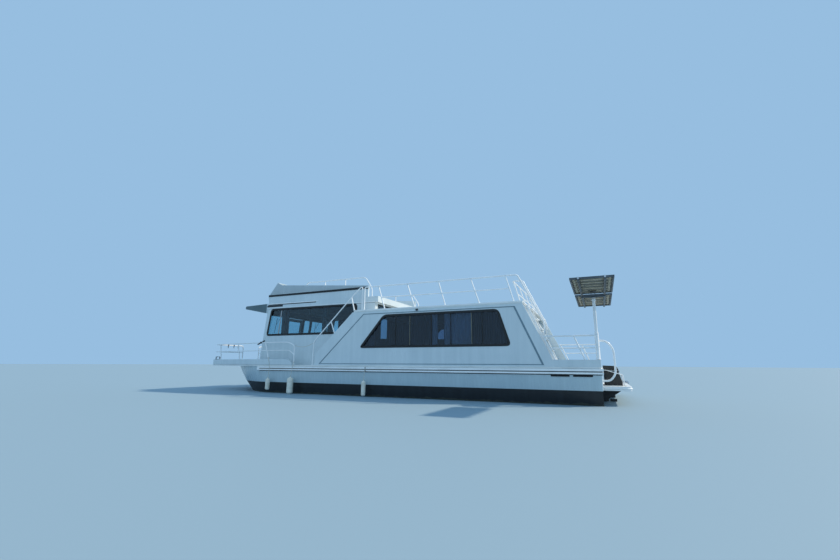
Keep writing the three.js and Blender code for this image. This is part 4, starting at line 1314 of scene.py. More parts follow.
@dataclass
class Deck:
    """Deck, bulwark, side stairs and roof deck, with their non-skid panels and deck fittings."""

    yard: Yard
    level: float = 0.78
    roof: float = 2.24
    cockpit: float = 0.42
    stair_low: float = 1.18
    stair_run: float = 0.238
    steps: int = 6
    side_deck: float = 1.71

    def build(self) -> None:
        """Dresses the decks."""
        for node, edge in (("deck", 0.01), ("cabin_roof", 0.02), ("engine_hatch", 0.006)):
            self.yard.moulding(node, DECK_PLAIN, edge)
        self.yard.moulding("bulwark", SHADED_GELCOAT, 0.016)
        self.yard.moulding("transom_wall", SHADED_GELCOAT, 0.005)
        for side, _ in SIDES:
            self.yard.moulding(f"side_stairs_{side}", DECK_PLAIN, 0.014)
        self.yard.hang("bow_deck_nonskid", self.bow_panels, DECK)
        self.yard.hang("roof_deck_nonskid", self.roof_panels, DECK)
        self.yard.hang("cockpit_nonskid", self.cockpit_panels, DECK)
        self.yard.hang("engine_hatch_nonskid", self.hatch_panel, DECK, "engine_hatch")
        self.yard.hang("engine_hatch_fittings", self.hatch_fittings, STAINLESS, "engine_hatch")
        self.yard.pair("stair_nonskid", self.stair_panels, DECK)
        self.yard.pair("deck_cleats", self.cleats, STAINLESS)
        self.yard.pair("deck_fills", self.fills, STAINLESS)
        self.yard.pair("bow_corner_chocks", self.chock, BLACK_PLASTIC)
        self.yard.hang("anchor_locker_lid", self.locker_lid, DECK_PLAIN)
        self.yard.hang("anchor_locker_fittings", self.locker_fittings, STAINLESS)
        self.yard.pair("roof_edge_drip_rail", self.drip_rail, RUB_VINYL)
        self.yard.pair("roof_edge_lamp", self.roof_lamp, BLACK_PLASTIC)

    def panels(self, shape: Shape, outlines: list[list[Pair]], z: float) -> None:
        """Draws non-skid panels: raised a little, with rounded corners and edges."""
        for outline in outlines:
            shape.plate(flat_at(rounded(outline, 0.045, 5), z - 0.001), (0, 0, 0.004), 0.0012)

    def bow_panels(self, shape: Shape) -> None:
        """Draws the panels on the bow deck and side decks.

        Args:
            shape: the empty shape that takes the piece.
        """
        outlines = []
        for sign in (1, -1):
            for x0, x1 in ((3.88, 4.83), (4.9, 5.79)):
                y0, y1 = (sign * (1.965 - 0.2115 * (x - 3.35)) for x in (x0, x1))
                outlines.append([(x0, sign * 0.24), (x0, y0), (x1, y1), (x1, sign * 0.24)])
            inner = sign * self.side_deck
            outlines += [
                [(1.46, inner), (1.46, sign * 2.0), (2.6, sign * 2.0), (2.6, inner)],
                [(2.67, inner), (2.67, sign * 1.98), (3.72, sign * 1.9), (3.72, inner)]
            ]
        outlines.append([(5.52, -0.18), (5.52, 0.18), (5.79, 0.18), (5.79, -0.18)])
        self.panels(shape, outlines, self.level)

    def roof_panels(self, shape: Shape) -> None:
        """Draws the panels on the roof deck and on the landings at the head of the stairs.

        Args:
            shape: the empty shape that takes the piece.
        """
        outlines = []
        for sign in (1, -1):
            for x0, x1 in ((-4.2, -2.95), (-2.88, -1.66), (-1.59, -0.42)):
                outlines.append(
                    [(x0, sign * 0.25), (x0, sign * 1.93), (x1, sign * 1.93), (x1, sign * 0.25)]
                )
            inner, outer = sign * self.side_deck, sign * 2.02
            outlines.append([(-0.27, inner), (-0.27, outer), (0.05, outer), (0.05, inner)])
        self.panels(shape, outlines, self.roof)

    def cockpit_panels(self, shape: Shape) -> None:
        """Draws the panels on the cockpit sole.

        Args:
            shape: the empty shape that takes the piece.
        """
        outlines = [
            [(-5.74, sign * 0.8), (-5.74, sign * 1.86), (-5.0, sign * 1.86), (-5.0, sign * 0.8)]
            for sign in (1, -1)
        ]
        self.panels(shape, outlines, self.cockpit)

    def hatch_panel(self, shape: Shape) -> None:
        """Draws the panels on the engine hatch."""
        outlines = [oblong(-5.63, -5.03, y0, y0 + 0.68) for y0 in (-0.725, 0.045)]
        self.panels(shape, outlines, self.cockpit)

    def hatch_fittings(self, shape: Shape) -> None:
        """Draws the hatch's flush ring pulls and the leaves of its hinges.

        Args:
            shape: the empty shape that takes the piece.
        """
        for y in (-0.4, 0.4):
            shape.turned(
                [(0, 0.0015), (0.026, 0.0015), (0.034, 0.0035), (0.037, 0.002), (0.037, 0)],
                (-5.09, y, self.cockpit + 0.002)
            )
            shape.ring((-5.09, y, self.cockpit + 0.0055), 0.019, 0.0022)
            shape.block((-5.65, y - 0.05, self.cockpit), (-5.6, y + 0.05, self.cockpit + 0.004), 0.001)
            shape.bar(
                (-5.655, y - 0.05, self.cockpit + 0.001), (-5.655, y + 0.05, self.cockpit + 0.001), 0.0045
            )
            for dy in (-0.03, 0.03):
                shape.screw((-5.615, y + dy, self.cockpit + 0.004))

    def stair_panels(self, shape: Shape) -> None:
        """Draws the non-skid on each tread of the side stairs.

        Args:
            shape: the empty shape that takes the piece.
        """
        rise = (2.1797 - self.level) / self.steps
        for k in range(self.steps - 1):
            x1 = self.stair_low - self.stair_run * k - 0.03
            x0 = x1 - self.stair_run + 0.045
            z = self.level + rise * (k + 1)
            outline = rounded(oblong(x0, x1, 1.69, 2.0), 0.02, 4)
            shape.plate(flat_at(outline, z - 0.001), (0, 0, 0.004), 0.0012)

    def cleats(self, shape: Shape) -> None:
        """Draws the port mooring cleats."""
        cleat(shape, (5.45, 1.28, self.level), math.radians(-12))
        cleat(shape, (-5.66, 1.8, self.cockpit), math.pi / 2, 0.18)

    def fills(self, shape: Shape) -> None:
        """Draws the round deck fillers for fuel and water, with the slot for their key.

        Args:
            shape: the empty shape that takes the piece.
        """
        for x, y in ((3.4, 2.02), (1.3, 1.9)):
            shape.turned(
                [
                    (0, 0.003), (0.022, 0.003), (0.0235, 0.0015), (0.025, 0.0045), (0.034, 0.005),
                    (0.041, 0.0005), (0.041, 0)
                ],
                (x, y, self.level)
            )
            for angle in (0, math.pi):
                shape.bar(
                    (x + 0.011 * math.cos(angle), y, self.level + 0.0028),
                    (x + 0.011 * math.cos(angle), y, self.level + 0.0042), 0.0028, sides=10
                )

    def chock(self, shape: Shape) -> None:
        """Draws the black fairlead on the bulwark's front corner.

        Args:
            shape: the empty shape that takes the piece.
        """
        x, y, z = 5.865, 1.40, 0.945
        shape.plate(
            flat_at(rounded(oblong(x - 0.04, x + 0.04, y - 0.1, y + 0.1), 0.03), z), (0, 0, 0.012), 0.003
        )
        for way in (-1, 1):
            shape.tube(
                [
                    (x, y + way * 0.07, z + 0.008), (x, y + way * 0.08, z + 0.075),
                    (x, y + way * 0.02, z + 0.085)
                ],
                0.013, 0.05
            )
            shape.screw((x + 0.022, y + way * 0.085, z + 0.012), 0.005)

    def locker_lid(self, shape: Shape) -> None:
        """Draws the lid of the anchor locker in the bow deck, inside its drip groove."""
        outline = rounded(oblong(4.42, 4.98, -0.2, 0.2), 0.05)
        shape.plate(flat_at(outline, self.level - 0.001), (0, 0, 0.012), 0.003)

    def locker_fittings(self, shape: Shape) -> None:
        """Draws the lid's hinges and its turning latch.

        Args:
            shape: the empty shape that takes the piece.
        """
        top = self.level + 0.011
        for y in (-0.13, 0.13):
            shape.block((4.385, y - 0.03, self.level), (4.42, y + 0.03, self.level + 0.004), 0.001)
            shape.block((4.42, y - 0.03, top - 0.001), (4.46, y + 0.03, top + 0.003), 0.001)
            shape.bar((4.421, y - 0.03, top), (4.421, y + 0.03, top), 0.005)
            for x in (4.4, 4.445):
                shape.screw((x, y, top + 0.0025 if x > 4.42 else self.level + 0.004))
        shape.turned([(0, 0.004), (0.02, 0.004), (0.028, 0.002), (0.029, 0)], (4.93, 0, top))
        shape.block((4.915, -0.004, top + 0.003), (4.945, 0.004, top + 0.008), 0.0015)

    def drip_rail(self, shape: Shape) -> None:
        """Draws the half-round moulding along the edge of the roof deck."""
        y, z = 2.1052, 2.214
        shape.tube([(-0.02, y, z), (-4.36, y, z), (-4.396, 2.07, z), (-4.396, 0.02, z)], 0.011, 0.05)

    def roof_lamp(self, shape: Shape) -> None:
        """Draws the small downward lamp under the roof's edge.

        Args:
            shape: the empty shape that takes the piece.
        """
        x, y, z = -1.78, 2.104, 2.165
        shape.block((x - 0.03, y - 0.004, z - 0.022), (x + 0.03, y + 0.022, z + 0.016), 0.005)
        shape.bar((x, y + 0.01, z - 0.03), (x, y + 0.01, z - 0.02), 0.014, soft=0.003)


PILOTHOUSE_ROOM = Room((-0.3, -1.62, 0.8), (3.76, 1.62, 2.5))
CABIN_ROOM = Room((-4.9, -2.09, 0.3), (1.2, 2.09, 2.2), ((-4.775, 0.0, 0.783), (1.0, 0.0, -0.42569)))
# Under the visor every face in the box takes the dark finish: painted shade
VISOR = Room((3.6, -1.7, 2.3), (4.7, 1.7, 2.605), ((3.63, 0.0, 2.4), (1.0, 0.0, 0.0)), VISOR_SHADE, False)


@dataclass
class Cabin:
    """Aft cabin: side panels with their long windows, aft bulkhead and its door."""

    yard: Yard
    window: tuple[Pair, ...] = ((-0.183, 1.262), (-0.837, 2.045), (-3.810, 2.045), (-4.054, 1.262))
    corner: float = 0.075
    wall_face: float = 2.086
    glass_face: float = 2.060

    def build(self) -> None:
        """Dresses the cabin."""
        for side, _ in SIDES:
            self.yard.moulding(f"cabin_side_{side}", SHADED_GELCOAT, 0.009, CABIN_ROOM)
            self.yard.paint(f"cabin_glass_{side}", CABIN_GLASS)
            self.curtains(side)
        self.yard.pair("cabin_window_gasket", self.gasket, RUBBER)
        self.yard.pair("cabin_panel_bead", self.recess_shadow, RECESS_SHADOW)
        self.yard.pair("cabin_window_frames", self.pale_dividers, BRONZE_ALUMINIUM)
        self.yard.pair("cabin_sliding_frames", self.dark_dividers, RUBBER)
        self.yard.moulding("cabin_aft_bulkhead", SHADED_GELCOAT, 0.006, CABIN_ROOM)
        self.yard.moulding("aft_door", SHADED_GELCOAT, 0.005)
        self.yard.paint("aft_door_glass", CABIN_GLASS)
        self.yard.hang("aft_door_gasket", self.door_gasket, RUBBER, "aft_door")
        self.yard.hang("aft_door_fittings", self.door_fittings, STAINLESS, "aft_door")
        self.yard.hang("aft_door_trim", self.doorway_trim, ALUMINIUM)
        self.yard.hang("bulkhead_window", self.bulkhead_window, CABIN_GLASS)
        self.yard.hang("bulkhead_window_frame", self.bulkhead_frame, RUBBER)
        self.yard.hang("cockpit_lamp", self.cockpit_lamp, CLEAR_LENS)
        self.yard.hang("shore_power_inlets", self.inlets, BLACK_PLASTIC)

    def gasket(self, shape: Shape) -> None:
        """Frames the long window in black rubber.

        Args:
            shape: the empty shape that takes the piece.
        """
        lip = rounded(offset(self.window, 0.036), 0.12, 8)
        shape.frame(along_side(lip, self.wall_face + 0.0005), 0.058, (0, 0.008, 0))
        inner = rounded(offset(self.window, -0.001), self.corner)
        shape.frame(along_side(inner, self.glass_face + 0.0005), 0.018, (0, 0.026, 0))

    def recess_shadow(self, shape: Shape) -> None:
        """Draws the grey-blue band in the angle where the side's recessed panel meets its raised border,
        broader along the aft slanted edge: painted shadow.

        Args:
            shape: the empty shape that takes the piece.
        """
        outline = offset([(1.17, 0.812), (-0.215, 2.125), (-4.216, 2.125), (-4.79, 0.812)], -0.001)
        shape.frame(along_side(outline, self.wall_face - 0.001), 0.018, (0, 0.006, 0))
        aft = [(-4.788, 0.813), (-4.744, 0.813), (-4.172, 2.124), (-4.216, 2.124)]
        shape.plate(along_side(aft, self.wall_face - 0.001), (0, 0.008, 0), 0.002)

    def pale_dividers(self, shape: Shape) -> None:
        """Draws the two thin bronze frame bars of the opening lights."""
        self.dividers(shape, ((-1.57, 0.014), (-3.18, 0.014)))

    def dark_dividers(self, shape: Shape) -> None:
        """Draws the dark bars between the fixed lights."""
        self.dividers(shape, ((-1.17, 0.016), (-2.161, 0.03), (-2.66, 0.022), (-3.44, 0.016)))

    def dividers(self, shape: Shape, rows: tuple[Pair, ...]) -> None:
        """Stands upright frame bars on the long window's glass, each at its place with its width.

        Args:
            shape: the shape that takes them.
            rows: each bar's place along the boat and its width.
        """
        for x, wide in rows:
            shape.block(
                (x - wide / 2, self.glass_face - 0.001, 1.27),
                (x + wide / 2, self.glass_face + 0.008, 2.037), 0.002
            )

    def curtains(self, side: str) -> None:
        """Hangs the curtains behind the long window: some of them to port, all but one drawn to starboard.

        Args:
            side: port or starboard.
        """
        dark, pale, plum = CURTAIN, PALE_CURTAIN, PLUM_CURTAIN
        rows = {
            "port": (
                (-2.13, -1.62, dark, 7), (-2.3, -2.14, pale, 3), (-3.17, -2.48, pale, 12),
                (-3.42, -3.23, dark, 4), (-3.93, -3.47, plum, 8)
            ),
            "starboard": ((-0.75, -0.21, plum, 8), (-1.95, -0.97, pale, 15), (-3.95, -1.98, dark, 28))
        }
        for number, (x0, x1, finish, waves) in enumerate(rows[side], start=1):
            hang_curtain(
                self.yard, f"cabin_curtain_{number}", side, (x0, x1), (1.2, 2.12), 2.012, finish, waves
            )

    def door_gasket(self, shape: Shape) -> None:
        """Frames the cabin door's window."""
        outline = rounded(oblong(-0.828, -0.312, 1.142, 1.968), 0.03)
        shape.frame(BULKHEAD.lay(outline, -0.003), 0.03, BULKHEAD.step(0.006))

    def door_fittings(self, shape: Shape) -> None:
        """Draws the cabin door's hinges, handle and lock.

        Args:
            shape: the empty shape that takes the piece.
        """
        for z in (0.62, 1.2, 1.86):
            a, b = BULKHEAD.at(-0.912, z - 0.05, 0.001), BULKHEAD.at(-0.912, z + 0.05, 0.001)
            shape.bar(a, b, 0.006, soft=0.001)
            shape.plate(
                BULKHEAD.lay(oblong(-0.907, -0.872, z - 0.045, z + 0.045), -0.003), BULKHEAD.step(0.006),
                0.001
            )
        plate = rounded(oblong(-0.283, -0.243, 1.32, 1.5), 0.012)
        shape.plate(BULKHEAD.lay(plate, -0.003), BULKHEAD.step(0.008), 0.002)
        grip = [
            BULKHEAD.at(-0.263, 1.46, 0.004), BULKHEAD.at(-0.263, 1.46, 0.042),
            BULKHEAD.at(-0.38, 1.455, 0.042)
        ]
        shape.tube(grip, 0.008, 0.02)
        shape.turned(
            [(0, 0.006), (0.009, 0.006), (0.012, 0.003), (0.012, 0)], BULKHEAD.at(-0.263, 1.36, 0.005),
            (-1, 0, BULKHEAD.run)
        )

    def doorway_trim(self, shape: Shape) -> None:
        """Frames the doorway above the deck.

        Args:
            shape: the empty shape that takes the piece.
        """
        for y in (-0.93, -0.21):
            outline = oblong(y - 0.014, y + 0.014, 0.79, 2.08)
            shape.plate(BULKHEAD.lay(outline), BULKHEAD.step(0.004), 0.001)
        shape.plate(BULKHEAD.lay(oblong(-0.944, -0.196, 2.062, 2.09)), BULKHEAD.step(0.004), 0.001)

    def bulkhead_window(self, shape: Shape) -> None:
        """Draws the fixed window beside the cabin door."""
        outline = rounded(oblong(0.1, 0.98, 1.3, 1.98), 0.06)
        shape.plate(BULKHEAD.lay(outline, -0.001), BULKHEAD.step(0.006), 0.001)

    def bulkhead_frame(self, shape: Shape) -> None:
        """Frames the fixed window beside the cabin door."""
        outline = rounded(oblong(0.08, 1.0, 1.28, 2.0), 0.075)
        shape.frame(BULKHEAD.lay(outline, -0.001), 0.03, BULKHEAD.step(0.01))

    def cockpit_lamp(self, shape: Shape) -> None:
        """Draws the courtesy lamp beside the cabin door.

        Args:
            shape: the empty shape that takes the piece.
        """
        place = BULKHEAD.at(-1.12, 1.86, 0)
        shape.turned(
            [(0, 0.03), (0.02, 0.028), (0.034, 0.02), (0.041, 0.006), (0.043, 0)], place, BULKHEAD.step(1.0)
        )

    def inlets(self, shape: Shape) -> None:
        """Draws the two covered power inlets beside the door.

        Args:
            shape: the empty shape that takes the piece.
        """
        for y in (-1.35, -1.22):
            outline = rounded(oblong(y - 0.045, y + 0.045, 1.0, 1.1), 0.02)
            shape.plate(BULKHEAD.lay(outline), BULKHEAD.step(0.012), 0.003)
            shape.turned(
                [(0, 0.016), (0.026, 0.015), (0.032, 0.008), (0.033, 0)], BULKHEAD.at(y, 1.05, 0.011),
                BULKHEAD.step(1.0)
            )


@dataclass
class Pilothouse:
    """Pilothouse: side walls, raked front with its door and windshields, aft wall and roof."""

    yard: Yard
    window: tuple[Pair, ...] = ((3.54, 1.68), (3.418, 2.474), (0.298, 2.474), (0.298, 1.68))
    corner: float = 0.075
    wall: float = 1.65
    glass: float = 1.625
    openings: tuple[Pair, ...] = ((0.8, 1.52), (-0.455, -0.1), (-1.52, -0.5))
    half_roof: float = 1.658

    def build(self) -> None:
        """Dresses the pilothouse."""
        yard = self.yard
        for side, _ in SIDES:
            yard.moulding(f"pilothouse_side_{side}", SHADED_GELCOAT, 0.006, PILOTHOUSE_ROOM)
            yard.paint(f"pilothouse_glass_{side}", PILOT_GLASS)
            yard.paint(f"windshield_{side}", PILOT_GLASS)
        for node in ("pilothouse_front", "pilothouse_aft_wall"):
            yard.moulding(node, SHADED_GELCOAT, 0.005, PILOTHOUSE_ROOM)
        yard.moulding("front_door", SHADED_GELCOAT, 0.005)
        yard.moulding("pilothouse_roof", SHADED_GELCOAT, 0.012, VISOR)
        yard.paint("front_door_glass", PILOT_GLASS)
        yard.paint("pilothouse_aft_glass", PILOT_GLASS)
        yard.pair("pilothouse_window_gasket", self.gasket, RUBBER)
        yard.pair("pilothouse_window_posts", self.posts, BLACK_PLASTIC)
        yard.pair("pilothouse_window_slide", self.slide, ALUMINIUM)
        yard.hang("windshield_gaskets", self.windshield_gaskets, RUBBER)
        yard.hang("windshield_wipers", self.wipers, BLACK_PLASTIC)
        yard.hang("front_door_gasket", self.door_gasket, RUBBER, "front_door")
        yard.hang("front_door_fittings", self.door_fittings, STAINLESS, "front_door")
        yard.pair("aft_window_gasket", self.aft_gasket, RUBBER)
        yard.pair("roof_fascia", self.fascia, RUB_VINYL)
        yard.pair("roof_fascia_gasket", self.fascia_shadow_strips, RUBBER)
        yard.pair("roof_vent", self.roof_vent, BLACK_PLASTIC)
        yard.hang("visor_underside", self.visor_shade_panel, VISOR_SHADE)
        yard.hang("roof_horn", self.horn, STAINLESS)
        for side, _ in SIDES:
            self.curtains(side)

    def gasket(self, shape: Shape) -> None:
        """Frames the side window in black rubber, with a lip on the wall and a sleeve down to the glass.

        Args:
            shape: the empty shape that takes the piece.
        """
        lip = rounded(offset(self.window, 0.026), 0.115, 8)
        shape.frame(along_side(lip, self.wall + 0.0005), 0.06, (0, 0.008, 0))
        inner = rounded(offset(self.window, -0.001), self.corner)
        shape.frame(along_side(inner, self.glass + 0.0005), 0.016, (0, 0.025, 0))

    def posts(self, shape: Shape) -> None:
        """Draws the dark posts behind the side window's glass.

        Args:
            shape: the empty shape that takes the piece.
        """
        for x, wide in ((2.95, 0.13), (1.41, 0.16), (1.94, 0.016)):
            shape.block(
                (x - wide / 2, self.glass - 0.036, 1.62), (x + wide / 2, self.glass - 0.009, 2.49), 0.003
            )

    def slide(self, shape: Shape) -> None:
        """Draws the pale frame of the opening light, outside the glass."""
        leaning = [(3.09, 1.712), (3.126, 1.712), (3.05, 2.442), (3.014, 2.442)]
        shape.plate(along_side(leaning, self.glass), (0, 0.01, 0), 0.002)

    def windshield_gaskets(self, shape: Shape) -> None:
        """Frames the windshield's openings, each with a lip on the wall and a sleeve down to its glass.

        Args:
            shape: the empty shape that takes the piece.
        """
        for y0, y1 in self.openings:
            lip = rounded(oblong(y0 - 0.012, y1 + 0.012, 1.548, 2.342), 0.068)
            shape.frame(FRONT.lay(lip, 0.0005), 0.028, FRONT.step(0.007))
            sleeve = rounded(oblong(y0 + 0.002, y1 - 0.002, 1.562, 2.328), 0.06)
            shape.frame(FRONT.lay(sleeve, -0.045), 0.014, FRONT.step(0.045))

    def wipers(self, shape: Shape) -> None:
        """Draws a wiper for each large pane: motor cap, arm and blade, parked upright.

        Args:
            shape: the empty shape that takes the piece.
        """
        cap = [(0, 0.03), (0.016, 0.03), (0.02, 0.026), (0.022, 0.0), (0, 0.0)]
        for y in (0.95, -1.02):
            shape.turned(cap, FRONT.at(y, 2.385), FRONT.step(1.0))
            shape.bar(FRONT.at(y, 2.385, 0.022), FRONT.at(y + 0.24, 2.02, 0.014), 0.006, 0.004)
            for out, thick in ((0.008, 0.005), (0.002, 0.0035)):
                shape.bar(FRONT.at(y + 0.22, 2.27, out), FRONT.at(y + 0.255, 1.78, out), thick)

    def door_gasket(self, shape: Shape) -> None:
        """Frames the front door's window."""
        outline = rounded(oblong(0.038, 0.642, 1.478, 2.242), 0.03)
        shape.frame(FRONT.lay(outline, -0.0025), 0.028, FRONT.step(0.007))

    def door_fittings(self, shape: Shape) -> None:
        """Draws the front door's hinges at its starboard edge, and its handle and lock at the other.

        Args:
            shape: the empty shape that takes the piece.
        """
        for z in (1.0, 1.55, 2.12):
            shape.bar(
                FRONT.at(-0.022, z - 0.05, 0.001), FRONT.at(-0.022, z + 0.05, 0.001), 0.006, soft=0.001
            )
            leaf = oblong(-0.017, 0.022, z - 0.045, z + 0.045)
            shape.plate(FRONT.lay(leaf, -0.0025), FRONT.step(0.004), 0.001)
            for dz in (-0.03, 0.03):
                shape.screw(FRONT.at(0.008, z + dz, 0.0015), 0.0035, FRONT.step(1.0))
        plate = rounded(oblong(0.652, 0.692, 1.33, 1.51), 0.012)
        shape.plate(FRONT.lay(plate, -0.0025), FRONT.step(0.007), 0.002)
        grip = [FRONT.at(0.672, 1.47, 0.002), FRONT.at(0.672, 1.47, 0.042), FRONT.at(0.55, 1.465, 0.042)]
        shape.tube(grip, 0.008, 0.02)
        lock = [(0, 0.006), (0.009, 0.006), (0.012, 0.003), (0.012, 0), (0, 0)]
        shape.turned(lock, FRONT.at(0.672, 1.37, 0.0035), FRONT.step(1.0))

    def aft_gasket(self, shape: Shape) -> None:
        """Frames the low port window above the roof deck."""
        outline = [(-0.3005, y, z) for y, z in oblong(0.108, 1.492, 2.273, 2.467)]
        shape.frame(outline, 0.02, (-0.006, 0, 0))

    def fascia(self, shape: Shape) -> None:
        """Draws the light moulding along the forward half of the roof's edge, tapered at its aft end.

        Args:
            shape: the empty shape that takes the piece.
        """
        shape.plate(
            along_side(
                [(1.6, 2.652), (1.74, 2.634), (3.56, 2.634), (3.56, 2.664), (1.66, 2.664)],
                self.half_roof - 0.001
            ),
            (0, 0.0115, 0), 0.003
        )
        shape.block((-0.38, self.half_roof - 0.003, 2.512), (3.55, self.half_roof + 0.004, 2.524), 0.002)

    def fascia_shadow_strips(self, shape: Shape) -> None:
        """Draws the black strips under the fascia and along the roof's lower edge: painted shadow."""
        shape.block((1.72, self.half_roof - 0.002, 2.61), (3.57, self.half_roof + 0.006, 2.634), 0.002)
        shape.block((-0.3, self.half_roof - 0.03, 2.494), (3.52, self.half_roof - 0.004, 2.5005), 0.001)

    def roof_vent(self, shape: Shape) -> None:
        """Draws the short row of vent slots under the roof's edge.

        Args:
            shape: the empty shape that takes the piece.
        """
        back = rounded(oblong(2.985, 3.612, 2.55, 2.606), 0.012, 3)
        shape.plate(along_side(back, self.half_roof - 0.002), (0, 0.0045, 0), 0.001)
        for k in range(7):
            x = 3.02 + 0.09 * k
            outline = rounded(oblong(x, x + 0.05, 2.564, 2.594), 0.01, 3)
            shape.plate(along_side(outline, self.half_roof), (0, 0.006, 0), 0.001)

    def visor_shade_panel(self, shape: Shape) -> None:
        """Draws the dark panel under the visor, with its two battens: painted shade of the visor's
        underside.

        Args:
            shape: the empty shape that takes the piece.
        """
        for x0, x1, half, deep in ((3.68, 4.4, 1.48, 0.003), (4.02, 4.045, 1.48, 0.008)):
            corners = oblong(x0, x1, -half, half)
            under = [(x, y, 2.365 + (x - 3.608) * 0.18908 - deep) for x, y in corners]
            shape.plate(under, (0, 0, deep + 0.001), 0.0015)

    def horn(self, shape: Shape) -> None:
        """Draws the twin trumpet horn on the roof's forward edge.

        Args:
            shape: the empty shape that takes the piece.
        """
        flare = [
            (0, 0.0), (0.012, 0.0), (0.013, 0.1), (0.018, 0.17), (0.034, 0.21), (0.036, 0.212),
            (0.03, 0.208), (0, 0.19)
        ]
        for y in (-0.05, 0.05):
            shape.turned(flare, (3.86, y, 2.694), (1, 0, 0.02))
            shape.block((3.9, y - 0.01, 2.648), (3.93, y + 0.01, 2.69), 0.003)
        shape.block((3.84, -0.075, 2.68), (3.88, 0.075, 2.708), 0.008)

    def curtains(self, side: str) -> None:
        """Hangs the curtains behind the side window: gathered at its posts to port, drawn to starboard.

        Args:
            side: port or starboard.
        """
        rows = ((2.77, 3.03, 5), (0.32, 0.5, 4)) if side == "port" else ((0.29, 1.05, 9), (1.46, 3.17, 18))
        for number, (x0, x1, waves) in enumerate(rows, start=1):
            name = f"pilothouse_curtain_{number}"
            hang_curtain(self.yard, name, side, (x0, x1), (1.56, 2.485), 1.56, CURTAIN, waves)


def coaming_top(x: float) -> float:
    """Gives the height of the flybridge coaming's upper edge at a place along it."""
    return 3.0 + (x + 0.06) * 0.235 / 3.145


@dataclass
class Flybridge:
    """Flybridge tub: its coaming with its strips, grey panels and catches, and the non-skid on its floor."""

    yard: Yard
    half: float = 1.635
    floor: float = 2.668

    def build(self) -> None:
        """Dresses the flybridge."""
        yard = self.yard
        yard.moulding("flybridge_coaming", SHADED_GELCOAT, 0.014)
        yard.pair("coaming_rub_strip", self.strip, RUBBER)
        yard.pair("coaming_panel", self.upper_panel, COAMING_GREY)
        yard.pair("coaming_catches", self.catches, STAINLESS)
        yard.hang("coaming_front_strip", self.front_strip, RUBBER)
        yard.hang("flybridge_sole", self.sole, DECK)

    def strip(self, shape: Shape) -> None:
        """Draws the black rub strip, which climbs a little towards the stern."""
        outline = [(3.595, 2.884), (3.6, 2.944), (2.2, 2.95), (-0.06, 2.962), (-0.06, 2.9), (2.2, 2.888)]
        shape.plate(along_side(outline, self.half - 0.002), (0, 0.016, 0), 0.004)

    def upper_panel(self, shape: Shape) -> None:
        """Draws the light grey panels above the strip.

        Args:
            shape: the empty shape that takes the piece.
        """
        for x0, x1 in ((-0.045, 1.4), (1.41, 3.01)):
            outline = [
                (x0, 2.966), (x0, coaming_top(x0) - 0.012), (x1, coaming_top(x1) - 0.012), (x1, 2.966)
            ]
            shape.plate(along_side(outline, self.half - 0.001), (0, 0.0035, 0), 0.001)
        outline = [
            (3.02, 2.957), (3.02, coaming_top(3.02) - 0.012), (3.085, 3.222), (3.268, 3.308), (3.535, 2.98),
            (3.53, 2.957)
        ]
        shape.plate(along_side(outline, self.half - 0.001), (0, 0.0035, 0), 0.001)

    def catches(self, shape: Shape) -> None:
        """Draws the snap studs along the upper edge.

        Args:
            shape: the empty shape that takes the piece.
        """
        for k in range(9):
            x = 0.1 + 0.36 * k
            z = coaming_top(x) - 0.022
            shape.turned(
                [(0, 0.005), (0.005, 0.005), (0.0075, 0.003), (0.0085, 0), (0, 0)],
                (x, self.half + 0.0025, z), (0, 1, 0)
            )

    def front_strip(self, shape: Shape) -> None:
        """Carries the rub strip round the front of the tub.

        Args:
            shape: the empty shape that takes the piece.
        """
        outline = [(3.5925, 2.886), (3.604, 2.944)]
        corners = [(x, -self.half, z) for x, z in outline] + [
            (x, self.half, z) for x, z in reversed(outline)
        ]
        shape.plate(corners, (0.014, 0, -0.002), 0.004)

    def sole(self, shape: Shape) -> None:
        """Draws the non-skid panels on the flybridge floor.

        Args:
            shape: the empty shape that takes the piece.
        """
        for x0, x1, y0, y1 in (
            (0.02, 1.8, 0.05, 1.5), (0.02, 1.8, -1.5, -0.02), (1.87, 3.4, 0.05, 1.5),
            (2.46, 3.0, -1.5, -0.02)
        ):
            outline = rounded(oblong(x0, x1, y0, y1), 0.05, 5)
            shape.plate(flat_at(outline, self.floor - 0.001), (0, 0, 0.004), 0.0012)


